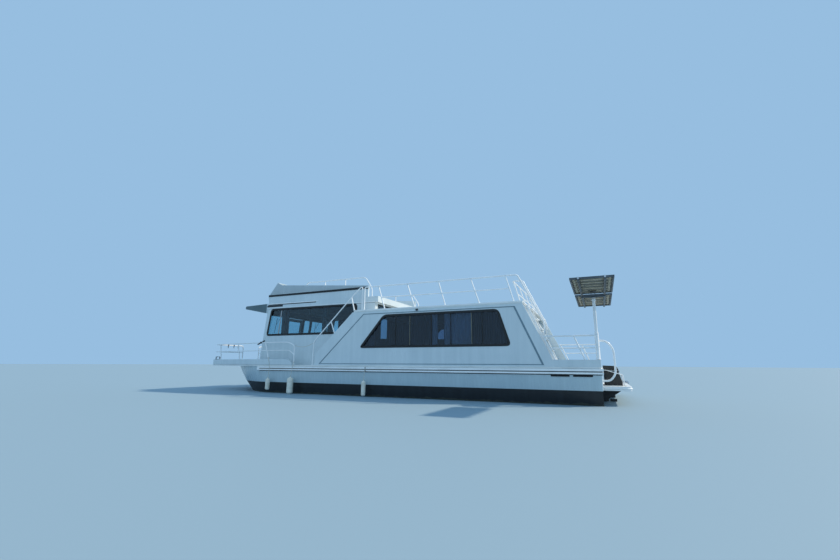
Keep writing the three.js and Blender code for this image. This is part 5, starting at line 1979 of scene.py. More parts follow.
@dataclass
class Rails:
    """Every tube rail on the boat, with its foot plates, and the ropes across the side gates."""

    yard: Yard
    line: float = 2.075
    roof_line: float = 2.06
    tube: float = 0.016
    mid: float = 0.0128
    deck: float = 0.7805
    bulwark: float = 0.9453
    roof: float = 2.2403
    taper: float = 3.35
    front: Point = (5.88, 1.5, 0.37)
    roof_mid: float = 2.545
    stern: float = MAST[0]
    grab: float = 1.88
    gate_sag: float = 0.07
    gate_rope: float = 0.006

    def build(self) -> None:
        """Dresses the rails."""
        yard, white = self.yard, PAINTED_TUBE
        for side, sign in SIDES:
            self.gate(side, sign)
        yard.pair("bow_rail_tubes", self.bow_rail, white, "bow_rail")
        yard.pair("stair_rail_tubes", self.stair_rail, white, "stair_rail")
        yard.pair("flybridge_rail_tubes", self.fly_rail, white, "flybridge_rail")
        for node, draw, side in (
            ("roof_rail_port", self.roof_rail_port, 1),
            ("roof_rail_starboard", self.roof_rail_starboard, 1),
            ("stern_rail_port", self.stern_rail_port, 1), ("stern_rail_starboard", self.stern_rail, -1)
        ):
            yard.hang(f"{node}_tubes", draw, white, replaces=(node,), side=side)
        yard.hang("bow_rail_holder", self.holder, BLACK_PLASTIC)
        yard.hang("bow_rail_clips", self.clips, BLACK_PLASTIC)

    def post(self, shape: Shape, top: Point, foot: Point, plate: bool = True) -> None:
        """Draws a stanchion, with the flange that it is welded to.

        Args:
            shape: the shape that takes it.
            top: its upper end.
            foot: its lower end.
            plate: whether it stands on a flange.
        """
        shape.bar(top, foot, self.tube, sides=18)
        if plate:
            shape.flange(foot, self.tube)

    def edge(self, x: float) -> float:
        """Gives the rail's distance from the centreline at a place along the bow.

        Args:
            x: the place along the boat.

        Returns:
            The distance.
        """
        if x < self.taper:
            return self.line
        return self.line - (x - self.taper) * (self.line - self.front[1]) / (self.front[0] - self.taper)

    def along(self, x: float, z: float) -> Point:
        """Gives a point of the bow rail."""
        return (x, self.edge(x), z)

    def bow_rail(self, shape: Shape) -> None:
        """Draws the port bow rail.

        Args:
            shape: the empty shape that takes the piece.
        """
        x, y, gap = self.front
        foot, top, mid = 2.048, 1.424, 1.192
        high = [(foot, self.deck), (2.055, 1.33), (2.29, top), (self.taper, top)]
        front = [(x, y, 1.43), (x, gap, 1.43), (x, gap, self.bulwark)]
        shape.tube([self.along(*spot) for spot in high] + front, self.tube, 0.08, 18)
        low = [self.along(*spot) for spot in ((2.052, 1.07), (2.23, mid), (self.taper, mid))]
        shape.tube([*low, (x, y, 1.197), (x, gap, 1.197)], self.mid, 0.06, 16)
        for head, base in ((3.15, 2.99), (4.56, 4.4), (5.6, 5.5)):
            self.post(shape, self.along(head, top), self.along(base, self.bulwark))
        shape.flange(self.along(foot, self.deck), self.tube)
        shape.flange((x, gap, self.bulwark), self.tube)
        shape.ring((2.034, self.line, 1.325), 0.009, 0.003, (0, 1, 0), 16)

    def stair_rail(self, shape: Shape) -> None:
        """Draws the port stair rail, whose foot is the aft gate post.

        Args:
            shape: the empty shape that takes the piece.
        """
        y = self.line
        path = [
            (1.392, self.deck), (1.377, 1.425), (0.193, 2.596), (-0.08, 2.847), (-0.15, 2.85),
            (-0.15, self.roof)
        ]
        run = along_side(path, y)
        shape.tube(run, self.tube, 0.06, 18)
        shape.flange(run[0], self.tube)
        shape.flange(run[-1], self.tube)
        self.post(shape, (0.193, y, 2.596), (0.095, y, 2.25), False)
        self.post(shape, (0.831, y, 1.96), (0.708, y, 1.65), False)
        shape.flange((0.0935, y, 2.242), self.tube)
        shape.ring((1.402, y, 1.385), 0.009, 0.003, (0, 1, 0), 16)

    def fly_rail(self, shape: Shape) -> None:
        """Draws the port flybridge rail.

        Args:
            shape: the empty shape that takes the piece.
        """
        y, z = 1.605, 3.245
        run = along_side([(2.16, 3.172), (2.1, z), (0.06, z), (-0.17, 2.9), (-0.17, 2.669)], y)
        shape.tube(run, self.tube, 0.09, 18)
        shape.flange(run[-1], self.tube)
        for x in (2.16, 1.46, 0.74):
            top = coaming_top(x) + 0.004
            shape.flange((x, y, top - 0.004), self.tube * 0.92)
            if x < 2:
                shape.bar((x, y, top), (x, y, z), self.tube, sides=18)

    def roof_rail(self, shape: Shape, sign: int, end: list[Point], mid_end: list[Point]) -> None:
        """Draws a roof rail from its foot at the stairs to its aft end.

        Args:
            shape: the shape that takes it.
            sign: the side, 1 for port.
            end: the top rail's last corners.
            mid_end: the middle rail's last corners.
        """
        y, top = sign * self.roof_line, ROOF_RAIL_TOP
        foot = (-0.21, y, self.roof)
        shape.tube([foot, (-0.21, y, top - 0.01), (-0.33, y, top), *end], self.tube, 0.05, 18)
        shape.tube([(-0.735, y, self.roof_mid), *mid_end], self.mid, 0.038, 16)
        shape.flange(foot, self.tube)
        for high, low in (
            (-0.632, -0.835), (-1.481, -1.695), (-2.341, -2.52), (-3.178, -3.379), (-4.017, -4.19)
        ):
            self.post(shape, (high, y, top), (low, y, self.roof))

    def roof_rail_port(self, shape: Shape) -> None:
        """Draws the port roof rail, whose top runs on into the roof ladder's outer handrail."""
        y = self.roof_line
        self.roof_rail(shape, 1, [(ROOF_RAIL_END, y, ROOF_RAIL_TOP)], [(-4.103, y, self.roof_mid)])

    def roof_rail_starboard(self, shape: Shape) -> None:
        """Draws the starboard roof rail, which turns across the stern and runs on into the inner handrail.

        Args:
            shape: the empty shape that takes the piece.
        """
        y0, y1, top, mid, low = -self.roof_line, LADDER_INNER, -4.058, -4.146, -4.232
        end = [(top, y0, ROOF_RAIL_TOP), (top, y1, ROOF_RAIL_TOP), (ROOF_RAIL_END, y1, ROOF_RAIL_TOP)]
        self.roof_rail(shape, -1, end, [(mid, y0, self.roof_mid), (mid, y1 - 0.06, self.roof_mid)])
        for y in (y1 - 0.06, 0.46, -0.38, -1.22):
            self.post(shape, (top, y, ROOF_RAIL_TOP), (low, y, self.roof))

    def stern_rail_port(self, shape: Shape) -> None:
        """Draws the port stern rail, with the mast's socket and the grab rail that are welded to it.

        Args:
            shape: the empty shape that takes the piece.
        """
        self.stern_rail(shape)
        self.mast_socket(shape)
        self.grab_rail(shape)

    def stern_rail(self, shape: Shape) -> None:
        """Draws the port stern rail.

        Args:
            shape: the empty shape that takes the piece.
        """
        x, y, gap, top, mid, foot = self.stern, self.line, 0.38, 1.425, 1.17, 0.932
        shape.tube([(-4.79, y, top), (x, y, top), (x, gap, top), (x, gap, foot)], self.tube, 0.07, 18)
        shape.tube([(-4.9, y, mid), (x, y, mid), (x, gap, mid)], self.mid, 0.06, 16)
        for high, low in ((-5.417, -5.609), (-4.8, -5.02)):
            self.post(shape, (high, y, top), (low, y, foot))
        for across in (self.grab, 1.15):
            self.post(shape, (x, across, top), (x, across, foot))
        shape.flange((x, gap, foot), self.tube)
        cap = [(0, 0.0), (0.03, 0.0), (0.031, 0.004), (0.018, 0.012), (0, 0.012)]
        shape.turned(cap, (-4.788, y, top), (-1, 0, 0))

    def mast_socket(self, shape: Shape) -> None:
        """Draws the socket that the solar mast stands in, with its clamp rings and their bolts.

        Args:
            shape: the empty shape that takes the piece.
        """
        x, y, _ = MAST
        profile = [
            (0, 0.0), (0.052, 0.0), (0.052, 0.005), (0.044, 0.008), (0.04, 0.014), (0.04, 0.505),
            (0.037, 0.512), (0.031, 0.513), (0, 0.513)
        ]
        shape.turned(profile, (x, y, 0.932), (0, 0, 1), 32)
        for z in (1.2, 1.4):
            shape.ring((x, y, z), 0.039, 0.006, (0, 0, 1), 32)
            shape.bar((x - 0.02, y - 0.045, z), (x + 0.02, y - 0.045, z), 0.005, sides=6)

    def grab_rail(self, shape: Shape) -> None:
        """Draws the grab rail that reaches down to the swim platform.

        Args:
            shape: the empty shape that takes the piece.
        """
        run = [(-5.872, 1.33), (-6.05, 1.31), (-6.165, 1.15), (-6.17, 0.64), (-6.06, 0.5), (-5.902, 0.5)]
        shape.tube(along_side(run, self.grab), 0.02, 0.11, 20)
        shape.flange((-5.9005, self.grab, 0.5), 0.02, (-1, 0, 0))

    def holder(self, shape: Shape) -> None:
        """Draws the dark clamp and the tube that it holds slantwise on the port bow rail.

        Args:
            shape: the empty shape that takes the piece.
        """
        y = self.line
        shape.bar((3.2, y, 1.475), (3.46, y - 0.01, 1.372), 0.019, sides=22, soft=0.003)
        shape.block((3.29, y - 0.026, 1.4), (3.35, y + 0.026, 1.452), 0.006)
        shape.ring((3.2, y, 1.475), 0.019, 0.005, (-0.93, 0, 0.37), 20)

    def clips(self, shape: Shape) -> None:
        """Draws the small spring clips under the front rail.

        Args:
            shape: the empty shape that takes the piece.
        """
        x, top = self.front[0], 1.43
        clip = [(0.0165, -0.02), (0.021, -0.02), (0.021, 0.02), (0.0165, 0.02), (0.0165, -0.02)]
        for y in (1.32, 1.02, 0.78, 0.6):
            shape.turned(clip, (x, y, top), (0, 1, 0), 18)
            shape.block((x - 0.006, y - 0.011, 1.352), (x + 0.006, y + 0.011, 1.413), 0.003)
            shape.ring((x, y, 1.345), 0.012, 0.003, (1, 0, 0), 16)

    def gate(self, side: str, sign: float) -> None:
        """Hangs the rope across a side gate.

        Args:
            side: port or starboard.
            sign: 1 for port, -1 for starboard.
        """
        start, end = Vector((2.034, sign * self.line, 1.325)), Vector((1.402, sign * self.line, 1.385))
        path = []
        for k in range(21):
            t = k / 20
            sag = 4 * self.gate_sag * t * (1 - t)
            path.append(tuple(start.lerp(end, t) - Vector((0, 0, sag))))
        draw = partial(Shape.tube, points=path, radius=self.gate_rope, bend=0)
        rope = self.yard.hang(f"gate_line_{side}", draw, ROPE, replaces=(f"gate_rope_{side}",))


@dataclass
class Stern:
    """Swim platform with its locker and ladder, the ladder to the roof deck, drives and engine."""

    yard: Yard
    drive: Point = (-6.06, 0.62, -0.2)
    rise: Pair = (0.422, 2.17)
    treads: int = 7
    swim: Pair = (-6.482, -5.96)
    swim_sides: Pair = (-0.56, -0.16)
    swim_top: float = 0.41
    rungs: tuple[float, ...] = (0.12, 0.42, 0.72)

    def build(self) -> None:
        """Dresses the stern."""
        yard = self.yard
        yard.moulding("swim_platform", PLATFORM, 0.012)
        yard.hang("platform_nonskid", self.platform_panels, DECK)
        yard.hang("platform_edge", self.platform_edge, RUB_VINYL)
        yard.hang("platform_locker_body", self.locker, LOCKER)
        yard.hang("platform_locker_fittings", self.locker_fittings, STAINLESS)
        yard.hang("platform_locker_frame", self.locker_frame, PAINTED_TUBE)
        yard.hang("roof_ladder_tubes", self.ladder, PAINTED_TUBE, replaces=("roof_ladder",))
        yard.hang("roof_ladder_treads", self.tread_strips, DECK)
        yard.hang("swim_ladder_tubes", self.swim_ladder, STAINLESS, "swim_ladder", ("swim_ladder",))
        yard.hang("swim_ladder_treads", self.swim_treads, BLACK_PLASTIC, "swim_ladder")
        yard.hang("swim_ladder_hinges", self.swim_hinges, STAINLESS)
        for side, sign in SIDES:
            yard.moulding(f"drive_{side}", DRIVE, 0.006)
            yard.hang(f"drive_fittings_{side}", self.drive_fittings, STAINLESS, f"drive_{side}", side=sign)
            yard.moulding(f"propeller_{side}", BRONZE, 0.002)
        yard.moulding("engine", DRIVE, 0.012)
        yard.hang("engine_bearers", self.bearers, SHADED_GELCOAT)

    def platform_panels(self, shape: Shape) -> None:
        """Draws the non-skid panels on the swim platform.

        Args:
            shape: the empty shape that takes the piece.
        """
        aft, ahead = -6.36, -5.95
        for x1, y0, y1 in (
            (ahead, -1.72, -1.2), (ahead, -1.13, -0.63), (ahead, -0.1, 0.01), (-6.33, 0.78, 1.7)
        ):
            outline = rounded(oblong(aft, x1, y0, y1), min(0.04, (x1 - aft) * 0.3), 4)
            shape.plate(flat_at(outline, 0.387), (0, 0, 0.004), 0.001)

    def platform_edge(self, shape: Shape) -> None:
        """Draws the soft bumper strip round the swim platform's edge."""
        run = [(-5.93, 1.812, 0.345), (-6.45, 1.812, 0.345), (-6.45, -1.812, 0.345), (-5.93, -1.812, 0.345)]
        shape.tube(run, 0.014, 0.12, 14)

    def locker(self, shape: Shape) -> None:
        """Draws the dark moulded locker: its body, its lid and the ribs on its face.

        Args:
            shape: the empty shape that takes the piece.
        """
        foot, top = -6.302, -6.205
        body = [(-5.944, 0.389), (foot, 0.389), (foot + 0.075, 0.705), (-5.944, 0.712)]
        shape.plate(along_side(body, 0.756), (0, 0.688, 0), 0.014)
        lid = [
            (-5.938, 0.714), (foot + 0.062, 0.706), (top - 0.012, 0.772), (-6.19, 0.802), (-5.938, 0.812)
        ]
        shape.plate(along_side(lid, 0.742), (0, 0.716, 0), 0.014)
        for y in (0.9, 1.1, 1.3):
            rib = [(foot - 0.006, 0.43), (foot + 0.003, 0.43), (foot + 0.069, 0.67), (foot + 0.06, 0.67)]
            shape.plate(along_side(rib, y - 0.02), (0, 0.04, 0), 0.003)

    def locker_fittings(self, shape: Shape) -> None:
        """Draws the locker's latches and hinge pins.

        Args:
            shape: the empty shape that takes the piece.
        """
        for y in (0.92, 1.28):
            shape.block(
                (-6.252, y - 0.022, 0.67), (-6.232, y + 0.022, 0.745), 0.004, Matrix.Rotation(0.24, 4, "Y")
            )
            shape.bar((-6.25, y - 0.02, 0.7), (-6.25, y + 0.02, 0.7), 0.004, sides=10)
        for y in (0.86, 1.34):
            shape.bar((-5.936, y - 0.05, 0.806), (-5.936, y + 0.05, 0.806), 0.007, soft=0.001)

    def locker_frame(self, shape: Shape) -> None:
        """Draws the thin white frame that holds the locker down.

        Args:
            shape: the empty shape that takes the piece.
        """
        for y in (0.752, 1.448):
            shape.tube(
                [(-5.9, y, 0.725), (-6.0, y, 0.712), (-6.315, y, 0.613), (-6.335, y, 0.389)], 0.009, 0.03,
                14
            )
        shape.tube([(-6.318, 0.752, 0.603), (-6.318, 1.448, 0.603)], 0.009, 0, 14)

    def ladder_x(self, z: float, off: float = 0.0) -> float:
        """Gives the roof ladder's centreline at a height, or the place that far ahead of it."""
        return BULKHEAD.at(0, z)[0] - 0.217 + off

    def tread(self, k: int) -> float:
        """Gives the underside of a tread of the roof ladder, counted from the lowest."""
        low, high = self.rise
        return low + (high - low) * (k + 1) / (self.treads + 0.4)

    def ladder(self, shape: Shape) -> None:
        """Draws the roof ladder's stringers, treads and handrails.

        Args:
            shape: the empty shape that takes the piece.
        """
        corners = ((0, -0.045), (0, 0.045), (1, 0.045), (1, -0.045))
        stringer = [(self.ladder_x(self.rise[end], off), self.rise[end]) for end, off in corners]
        for y in (1.33, 1.79):
            shape.plate(along_side(stringer, y), (0, 0.03, 0), 0.006)
        for z in map(self.tread, range(self.treads)):
            shape.block((self.ladder_x(z, -0.09), 1.35, z), (self.ladder_x(z, 0.03), 1.8, z + 0.028), 0.006)
        for foot, head in ((LADDER_INNER, LADDER_INNER), (1.805, 2.06)):
            run = along_side([(self.ladder_x(1.42), 1.42), (-4.8, 1.52), (-4.806, 1.75)], foot)
            run += along_side([(-4.292, ROOF_RAIL_TOP), (-4.15, ROOF_RAIL_TOP)], head)
            shape.tube(run, 0.018, 0.06, 18)
            shape.ring((-4.152, head, ROOF_RAIL_TOP), 0.0165, 0.0035, (1, 0, 0), 24)

    def tread_strips(self, shape: Shape) -> None:
        """Draws the non-skid strips on the roof ladder's treads.

        Args:
            shape: the empty shape that takes the piece.
        """
        for k in range(self.treads):
            z = self.tread(k) + 0.027
            outline = rounded(
                oblong(self.ladder_x(z, -0.08), self.ladder_x(z, 0.008), 1.38, 1.77), 0.012, 3
            )
            shape.plate(flat_at(outline, z), (0, 0, 0.003), 0.0008)

    def rung(self, share: float) -> float:
        """Gives the place of a rung of the folded swim ladder, at a share of its length."""
        return self.swim[0] + (self.swim[1] - self.swim[0]) * share

    def swim_ladder(self, shape: Shape) -> None:
        """Draws the folded swim ladder's tubes.

        Args:
            shape: the empty shape that takes the piece.
        """
        z, thick = self.swim_top, 0.016
        for y in self.swim_sides:
            shape.tube([(x, y, z) for x in self.swim], thick, 0, 18)
            for x in self.swim:
                shape.ball((x, y, z), (thick, thick, thick), 16)
        for x in map(self.rung, (*self.rungs, 0.97)):
            shape.bar((x, self.swim_sides[0], z), (x, self.swim_sides[1], z), 0.0144, sides=18)

    def swim_treads(self, shape: Shape) -> None:
        """Draws the plastic sleeves on the swim ladder's rungs.

        Args:
            shape: the empty shape that takes the piece.
        """
        for x in map(self.rung, self.rungs):
            shape.block((x - 0.02, -0.51, 0.4115), (x + 0.02, -0.21, 0.427), 0.004)
            for k in range(12):
                y = -0.5 + k * 0.0255
                shape.block((x - 0.017, y, 0.426), (x + 0.017, y + 0.01, 0.429), 0.001)

    def swim_hinges(self, shape: Shape) -> None:
        """Draws the hinge lugs on the platform's edge and the ladder's hinge pins.

        Args:
            shape: the empty shape that takes the piece.
        """
        for y in (-0.594, -0.544, -0.194, -0.144):
            outline = [
                (-6.452, 0.36), (-6.44, 0.4), (-6.47, 0.432), (-6.494, 0.432), (-6.504, 0.405),
                (-6.48, 0.33), (-6.452, 0.33)
            ]
            shape.plate(along_side(outline, y), (0, 0.008, 0), 0.001)
        for y in (-0.569, -0.169):
            x, z = self.swim[0], self.swim_top
            shape.bar((x, y - 0.022, z), (x, y + 0.04, z), 0.006, sides=14)

    def drive_fittings(self, shape: Shape) -> None:
        """Draws the port drive's side caps, its mounting plate and the sacrificial ring at the propeller.

        Args:
            shape: the empty shape that takes the piece.
        """
        x, y, _ = self.drive
        for z in (-0.08, -0.2):
            shape.turned(
                [(0, 0.006), (0.012, 0.006), (0.014, 0.002), (0.014, 0), (0, 0)], (x - 0.02, y + 0.036, z),
                (0, 1, 0)
            )
        shape.ring((x - 0.178, y, -0.465), 0.052, 0.008, (1, 0, 0), 28)
        shape.plate(
            along_side(
                [(x + 0.055, -0.02), (x + 0.067, -0.02), (x + 0.067, -0.24), (x + 0.055, -0.24)], y - 0.02
            ),
            (0, 0.04, 0), 0.003
        )

    def bearers(self, shape: Shape) -> None:
        """Draws the engine's bearers in the hull."""
        for y in (-0.5, 0.5):
            shape.block((-5.68, y - 0.05, -0.2), (-5.02, y + 0.05, -0.172), 0.008)


@dataclass
class SolarArray:
    """Two framed panels on a tilting head, and the mast that carries them."""

    yard: Yard
    tilt: float = 0.019
    half_width: float = 0.37
    start: float = 0.12
    end: float = 1.65
    under: float = 0.088
    top: float = 0.123
    rim: float = 0.03

    def build(self) -> None:
        """Dresses the mast and its array."""
        hang = self.yard.hang
        hang("solar_mast_tube", self.mast_tube, PAINTED_TUBE, replaces=("solar_mast",))
        self.yard.moulding("solar_array", ARRAY_FRAME, 0.0015)
        place = Matrix.Translation(MAST) @ Matrix.Rotation(self.tilt, 4, "X")
        for name, draw, finish in (
            ("glass", partial(self.sheets, self.top - 0.001, 0.0025, 0.012), CELLS),
            ("backsheet", partial(self.sheets, self.under + 0.0245, 0.002, self.rim - 0.002), SHADED_BACKSHEET),
            ("backsheet_bands", self.bands, LIT_BANDS), ("junction_boxes", self.boxes, BLACK_PLASTIC),
            ("clamps", self.clamps, STAINLESS)
        ):
            hang(f"solar_{name}", draw, finish, "solar_array", place=place)

    def sheets(self, low: float, thick: float, inset: float, shape: Shape) -> None:
        """Draws a flat sheet in each panel.

        Args:
            low: the height of its underside.
            thick: its thickness.
            inset: how far its edges stay inside the panel's.
            shape: the empty shape that takes the piece.
        """
        for way in (1, -1):
            ends = sorted((way * (self.start + inset), way * (self.end - inset)))
            reach = self.half_width - inset
            shape.block((-reach, ends[0], low), (reach, ends[1], low + thick))

    def bands(self, shape: Shape) -> None:
        """Draws the tan bands under each panel, painted light through the backsheet between the cells:
        uneven, some in two pieces, with a strip across them near each side.

        Args:
            shape: the empty shape that takes the piece.
        """
        low, high = self.under + 0.0205, self.under + 0.0248
        rows = (
            (0.17, 0.075, -0.33, 0.33), (0.36, 0.10, -0.33, 0.05), (0.38, 0.06, 0.09, 0.33),
            (0.62, 0.13, -0.31, 0.33), (0.88, 0.07, -0.33, 0.12), (0.93, 0.11, 0.15, 0.33),
            (1.15, 0.10, -0.33, 0.30), (1.41, 0.12, -0.33, 0.33), (1.56, 0.05, -0.30, 0.33)
        )
        for way in (1, -1):
            for middle, wide, x0, x1 in rows:
                shape.block((x0, way * middle - wide / 2, low), (x1, way * middle + wide / 2, high), 0.001)
            for x in (-0.3, 0.3):
                reach = sorted((way * 0.2, way * 1.56))
                shape.block((x - 0.02, reach[0], low - 0.006), (x + 0.02, reach[1], low + 0.001), 0.001)

    def boxes(self, shape: Shape) -> None:
        """Draws each panel's junction box, with the stubs of its leads clipped beside it.

        Args:
            shape: the empty shape that takes the piece.
        """
        for way in (1, -1):
            y = way * 0.32
            shape.block((-0.06, y - 0.05, self.under), (0.06, y + 0.05, self.under + 0.023), 0.005)
            for x in (-0.04, 0.04):
                run = [
                    (x, y - way * 0.045, self.under + 0.006), (x, y - way * 0.12, self.under - 0.002),
                    (x * 0.8, way * 0.045, 0.07)
                ]
                shape.tube(run, 0.004, 0.04, 10)

    def clamps(self, shape: Shape) -> None:
        """Draws the clamps that hold the panels to the rails, and the tilting head's plates and bolt.

        Args:
            shape: the empty shape that takes the piece.
        """
        for x in (-0.22, 0.22):
            for y in (-1.66, -0.11, 0.11, 1.66):
                shape.block((x - 0.016, y - 0.012, 0.084), (x + 0.016, y + 0.012, 0.127), 0.002)
                shape.screw((x, y, 0.1268), 0.006)
            for y in (-0.02, 0.02):
                shape.bar((x, y, 0.024), (x, y, 0.03), 0.008, sides=6)
        for y in (-0.034, 0.026):
            shape.plate(
                [(-0.04, y, 0.01), (0.04, y, 0.01), (0.04, y, 0.034), (-0.04, y, 0.034)], (0, 0.008, 0),
                0.001
            )

    def mast_tube(self, shape: Shape) -> None:
        """Draws the mast: its tube, its foot collar and the head that the array turns on.

        Args:
            shape: the empty shape that takes the piece.
        """
        x, y, _ = MAST
        profile = [
            (0, 0.0), (0.039, 0.0), (0.039, 0.034), (0.036, 0.04), (0.03, 0.04), (0.03, 0.7),
            (0.034, 0.702), (0.034, 0.74), (0.03, 0.7435), (0, 0.7535)
        ]
        shape.turned(profile, (x, y, 1.4463), (0, 0, 1), 32)
        shape.bar((x - 0.05, y, 2.17), (x + 0.05, y, 2.17), 0.007, sides=6)


FenderRow = tuple[float, float, float, float]


@dataclass
class Fenders:
    """Three white fenders on their lines."""

    yard: Yard
    half_beam: float = 2.135
    gap: float = 0.006
    rows: tuple[FenderRow, ...] = (
        (2.83, 0.060, 0.088, 0.400), (1.995, 0.085, 0.005, 0.440), (-0.345, 0.056, 0.028, 0.392)
    )
    rope: float = 0.005

    def build(self) -> None:
        """Dresses the fenders."""
        for number, row in enumerate(self.rows, start=1):
            name = f"fender_{number}"
            self.yard.hang(f"{name}_body", partial(self.body, row), FENDER, replaces=(name,))
            self.yard.hang(f"{name}_line", partial(self.line, number, row), ROPE)

    def body(self, row: FenderRow, shape: Shape) -> None:
        """Draws a moulded fender: its ribbed body with domed ends, and the eye at its top.

        Args:
            row: its place along the boat, its radius, and its lower and upper ends.
            shape: the empty shape that takes the piece.
        """
        x, radius, low, high = row
        tall = high - low
        y = self.half_beam + radius + self.gap
        angles = [math.pi / 2 * k / 8 for k in range(9)]
        dome = [(radius * (0.3 + 0.7 * math.sin(a)), radius * 0.62 * (1 - math.cos(a))) for a in angles]
        profile = [(0, 0.004), *dome]
        for share in (0.32, 0.5, 0.68):
            profile += [
                (radius, tall * share - 0.006), (radius * 0.985, tall * share),
                (radius, tall * share + 0.006)
            ]
        profile += [(wide, tall - deep) for wide, deep in reversed(dome)]
        profile += [(radius * 0.28, tall + 0.004), (radius * 0.24, tall + 0.018), (0, tall + 0.022)]
        shape.turned(profile, (x, y, low), (0, 0, 1), 40)
        shape.ring((x, y, high + 0.018), 0.012, 0.006, (1, 0, 0), 20)

    def line(self, number: int, row: FenderRow, shape: Shape) -> None:
        """Draws a fender's taut line up to the rail, with its hitch.

        Args:
            number: the fender's number, from the bow.
            row: the fender's row in the table of fenders.
            shape: the empty shape that takes the piece.
        """
        x, radius, _, high = row
        y = self.half_beam + radius + self.gap
        eye = (x, y, high + 0.028)
        if number == 1:
            run = [eye, (2.86, 2.142, 0.742), (2.95, 2.117, 0.95), (2.99, 2.093, 0.985)]
            shape.ring((2.99, 2.075, 0.985), 0.021, self.rope, (-0.3, 0, 1), 20)
        elif number == 2:
            run = [eye, (2.02, 2.142, 0.742), (2.03, 2.12, 0.79), (2.042, 2.096, 0.86)]
            shape.ring((2.048, 2.075, 0.862), 0.021, self.rope, (0, 0, 1), 20)
        else:
            run = [eye, (x, 2.142, 0.7), (x, 2.142, 0.742), (x, 2.13, 0.748)]
            shape.ball((x, 2.128, 0.75), (0.012, 0.012, 0.008), 14)
        shape.tube(run, self.rope, 0.02, 10)
        shape.ring(eye, 0.009, self.rope * 0.9, (0, 1, 0), 16)


@dataclass
class Helm:
    """A helm station: the instruments on its console and its wheel. It is drawn about its sloping face."""

    yard: Yard
    name: str
    low: Pair
    high: Pair
    across: Pair
    centre: Point
    tilt: float
    radius: float
    reach: float

    def build(self) -> None:
        """Dresses the helm."""
        hang = self.yard.hang
        hang(f"{self.name}_dash", self.panel, BLACK_PLASTIC)
        hang(f"{self.name}_dial_rims", self.rims, STAINLESS)
        hang(f"{self.name}_dial_faces", self.faces, DIAL)
        wheel = f"{self.name}_wheel"
        place = Matrix.Translation(self.centre) @ Matrix.Rotation(-self.tilt, 4, "Y")
        hang(f"{wheel}_rim", self.rim, BLACK_PLASTIC, wheel, (wheel,), place=place)
        hang(f"{wheel}_spokes", self.spokes, STAINLESS, wheel, place=place)

    def spot(self, y: float, t: float, out: float = 0.0) -> Point:
        """Gives a point on the sloping face: t goes from its lower edge to its upper one.

        Args:
            y: the distance from the centreline.
            t: the share of the way up the face.
            out: how far outside the face.

        Returns:
            The point.
        """
        along = Vector(self.high) - Vector(self.low)
        lean = along.length
        x = self.low[0] + along.x * t - along.y / lean * out
        return (x, y, self.low[1] + along.y * t + along.x / lean * out)

    def normal(self, far: float = 1.0) -> Point:
        """Gives a step straight out of the sloping face."""
        return tuple(Vector(self.spot(0, 0, far)) - Vector(self.spot(0, 0, 0)))

    def dial_spots(self) -> list[tuple[float, float]]:
        """Gives each dial's place across the console and its size."""
        y = self.centre[1]
        return [(y + 0.27, 0.04), (y + 0.15, 0.03), (y - 0.15, 0.03), (y - 0.27, 0.04)]

    def panel(self, shape: Shape) -> None:
        """Draws the instrument panel, its switches and the twin throttle.

        Args:
            shape: the empty shape that takes the piece.
        """
        y0, y1 = self.across
        corners = [self.spot(y, t) for y, t in ((y0, 0.08), (y1, 0.08), (y1, 0.92), (y0, 0.92))]
        shape.plate(corners, self.normal(0.004), 0.001)
        for k in range(8):
            place = Vector(self.spot(self.centre[1] - 0.14 + 0.04 * k, 0.22, 0.006))
            half = Vector((0.009, 0.012, 0.006))
            shape.block(place - half, place + half, 0.002)
        base = Vector(self.spot(y1 - 0.12, 0.55, 0.02))
        shape.block(base - Vector((0.06, 0.055, 0.03)), base + Vector((0.06, 0.055, 0.02)), 0.012)
        for dy in (-0.028, 0.028):
            foot = base + Vector((0.0, dy, 0.015))
            knob = foot + Vector((-0.05, 0, 0.09))
            shape.bar(foot, knob, 0.005)
            shape.ball(knob, (0.013, 0.011, 0.016), 14)

    def rims(self, shape: Shape) -> None:
        """Draws the dials' rims and the compass bowl's ring.

        Args:
            shape: the empty shape that takes the piece.
        """
        for y, size in self.dial_spots():
            section = [
                (size * 0.82, 0.002), (size * 0.88, 0.008), (size, 0.008), (size * 1.06, 0.002),
                (size * 1.06, 0), (size * 0.82, 0), (size * 0.82, 0.002)
            ]
            shape.turned(section, self.spot(y, 0.6, 0.003), self.normal())
        ring = self.spot(self.centre[1], 1.04, 0.006)
        shape.turned([(0.034, 0), (0.046, 0), (0.044, 0.012), (0.036, 0.014), (0.034, 0)], ring, (0, 0, 1))

    def faces(self, shape: Shape) -> None:
        """Draws the dials' white faces under their glass.

        Args:
            shape: the empty shape that takes the piece.
        """
        for y, size in self.dial_spots():
            disc = [(0, 0.0045), (size * 0.6, 0.0042), (size * 0.84, 0.003), (size * 0.84, 0), (0, 0)]
            shape.turned(disc, self.spot(y, 0.6, 0.003), self.normal())

    def rim(self, shape: Shape) -> None:
        """Draws the wheel's rim with its finger grips, and the cap at its centre, about the origin.

        Args:
            shape: the empty shape that takes the piece.
        """
        shape.ring((0, 0, 0), self.radius, 0.0138, (0, 0, 1), 56)
        cap = [(0, 0.021), (0.02, 0.02), (0.034, 0.014), (0.038, 0.006), (0.038, -0.026), (0.0, -0.026)]
        shape.turned(cap, (0, 0, 0))
        shape.bar((0, 0, -self.reach + 0.001), (0, 0, -0.02), 0.02)

    def spokes(self, shape: Shape) -> None:
        """Draws the wheel's three spokes about the origin.

        Args:
            shape: the empty shape that takes the piece.
        """
        for k in range(3):
            angle = math.pi / 2 + math.tau * k / 3
            for lean in (-0.07, 0.07):
                inner = (0.03 * math.cos(angle + lean * 3), 0.03 * math.sin(angle + lean * 3), -0.004)
                outer = (self.radius * math.cos(angle + lean), self.radius * math.sin(angle + lean), 0)
                shape.bar(inner, outer, 0.0055, sides=12)


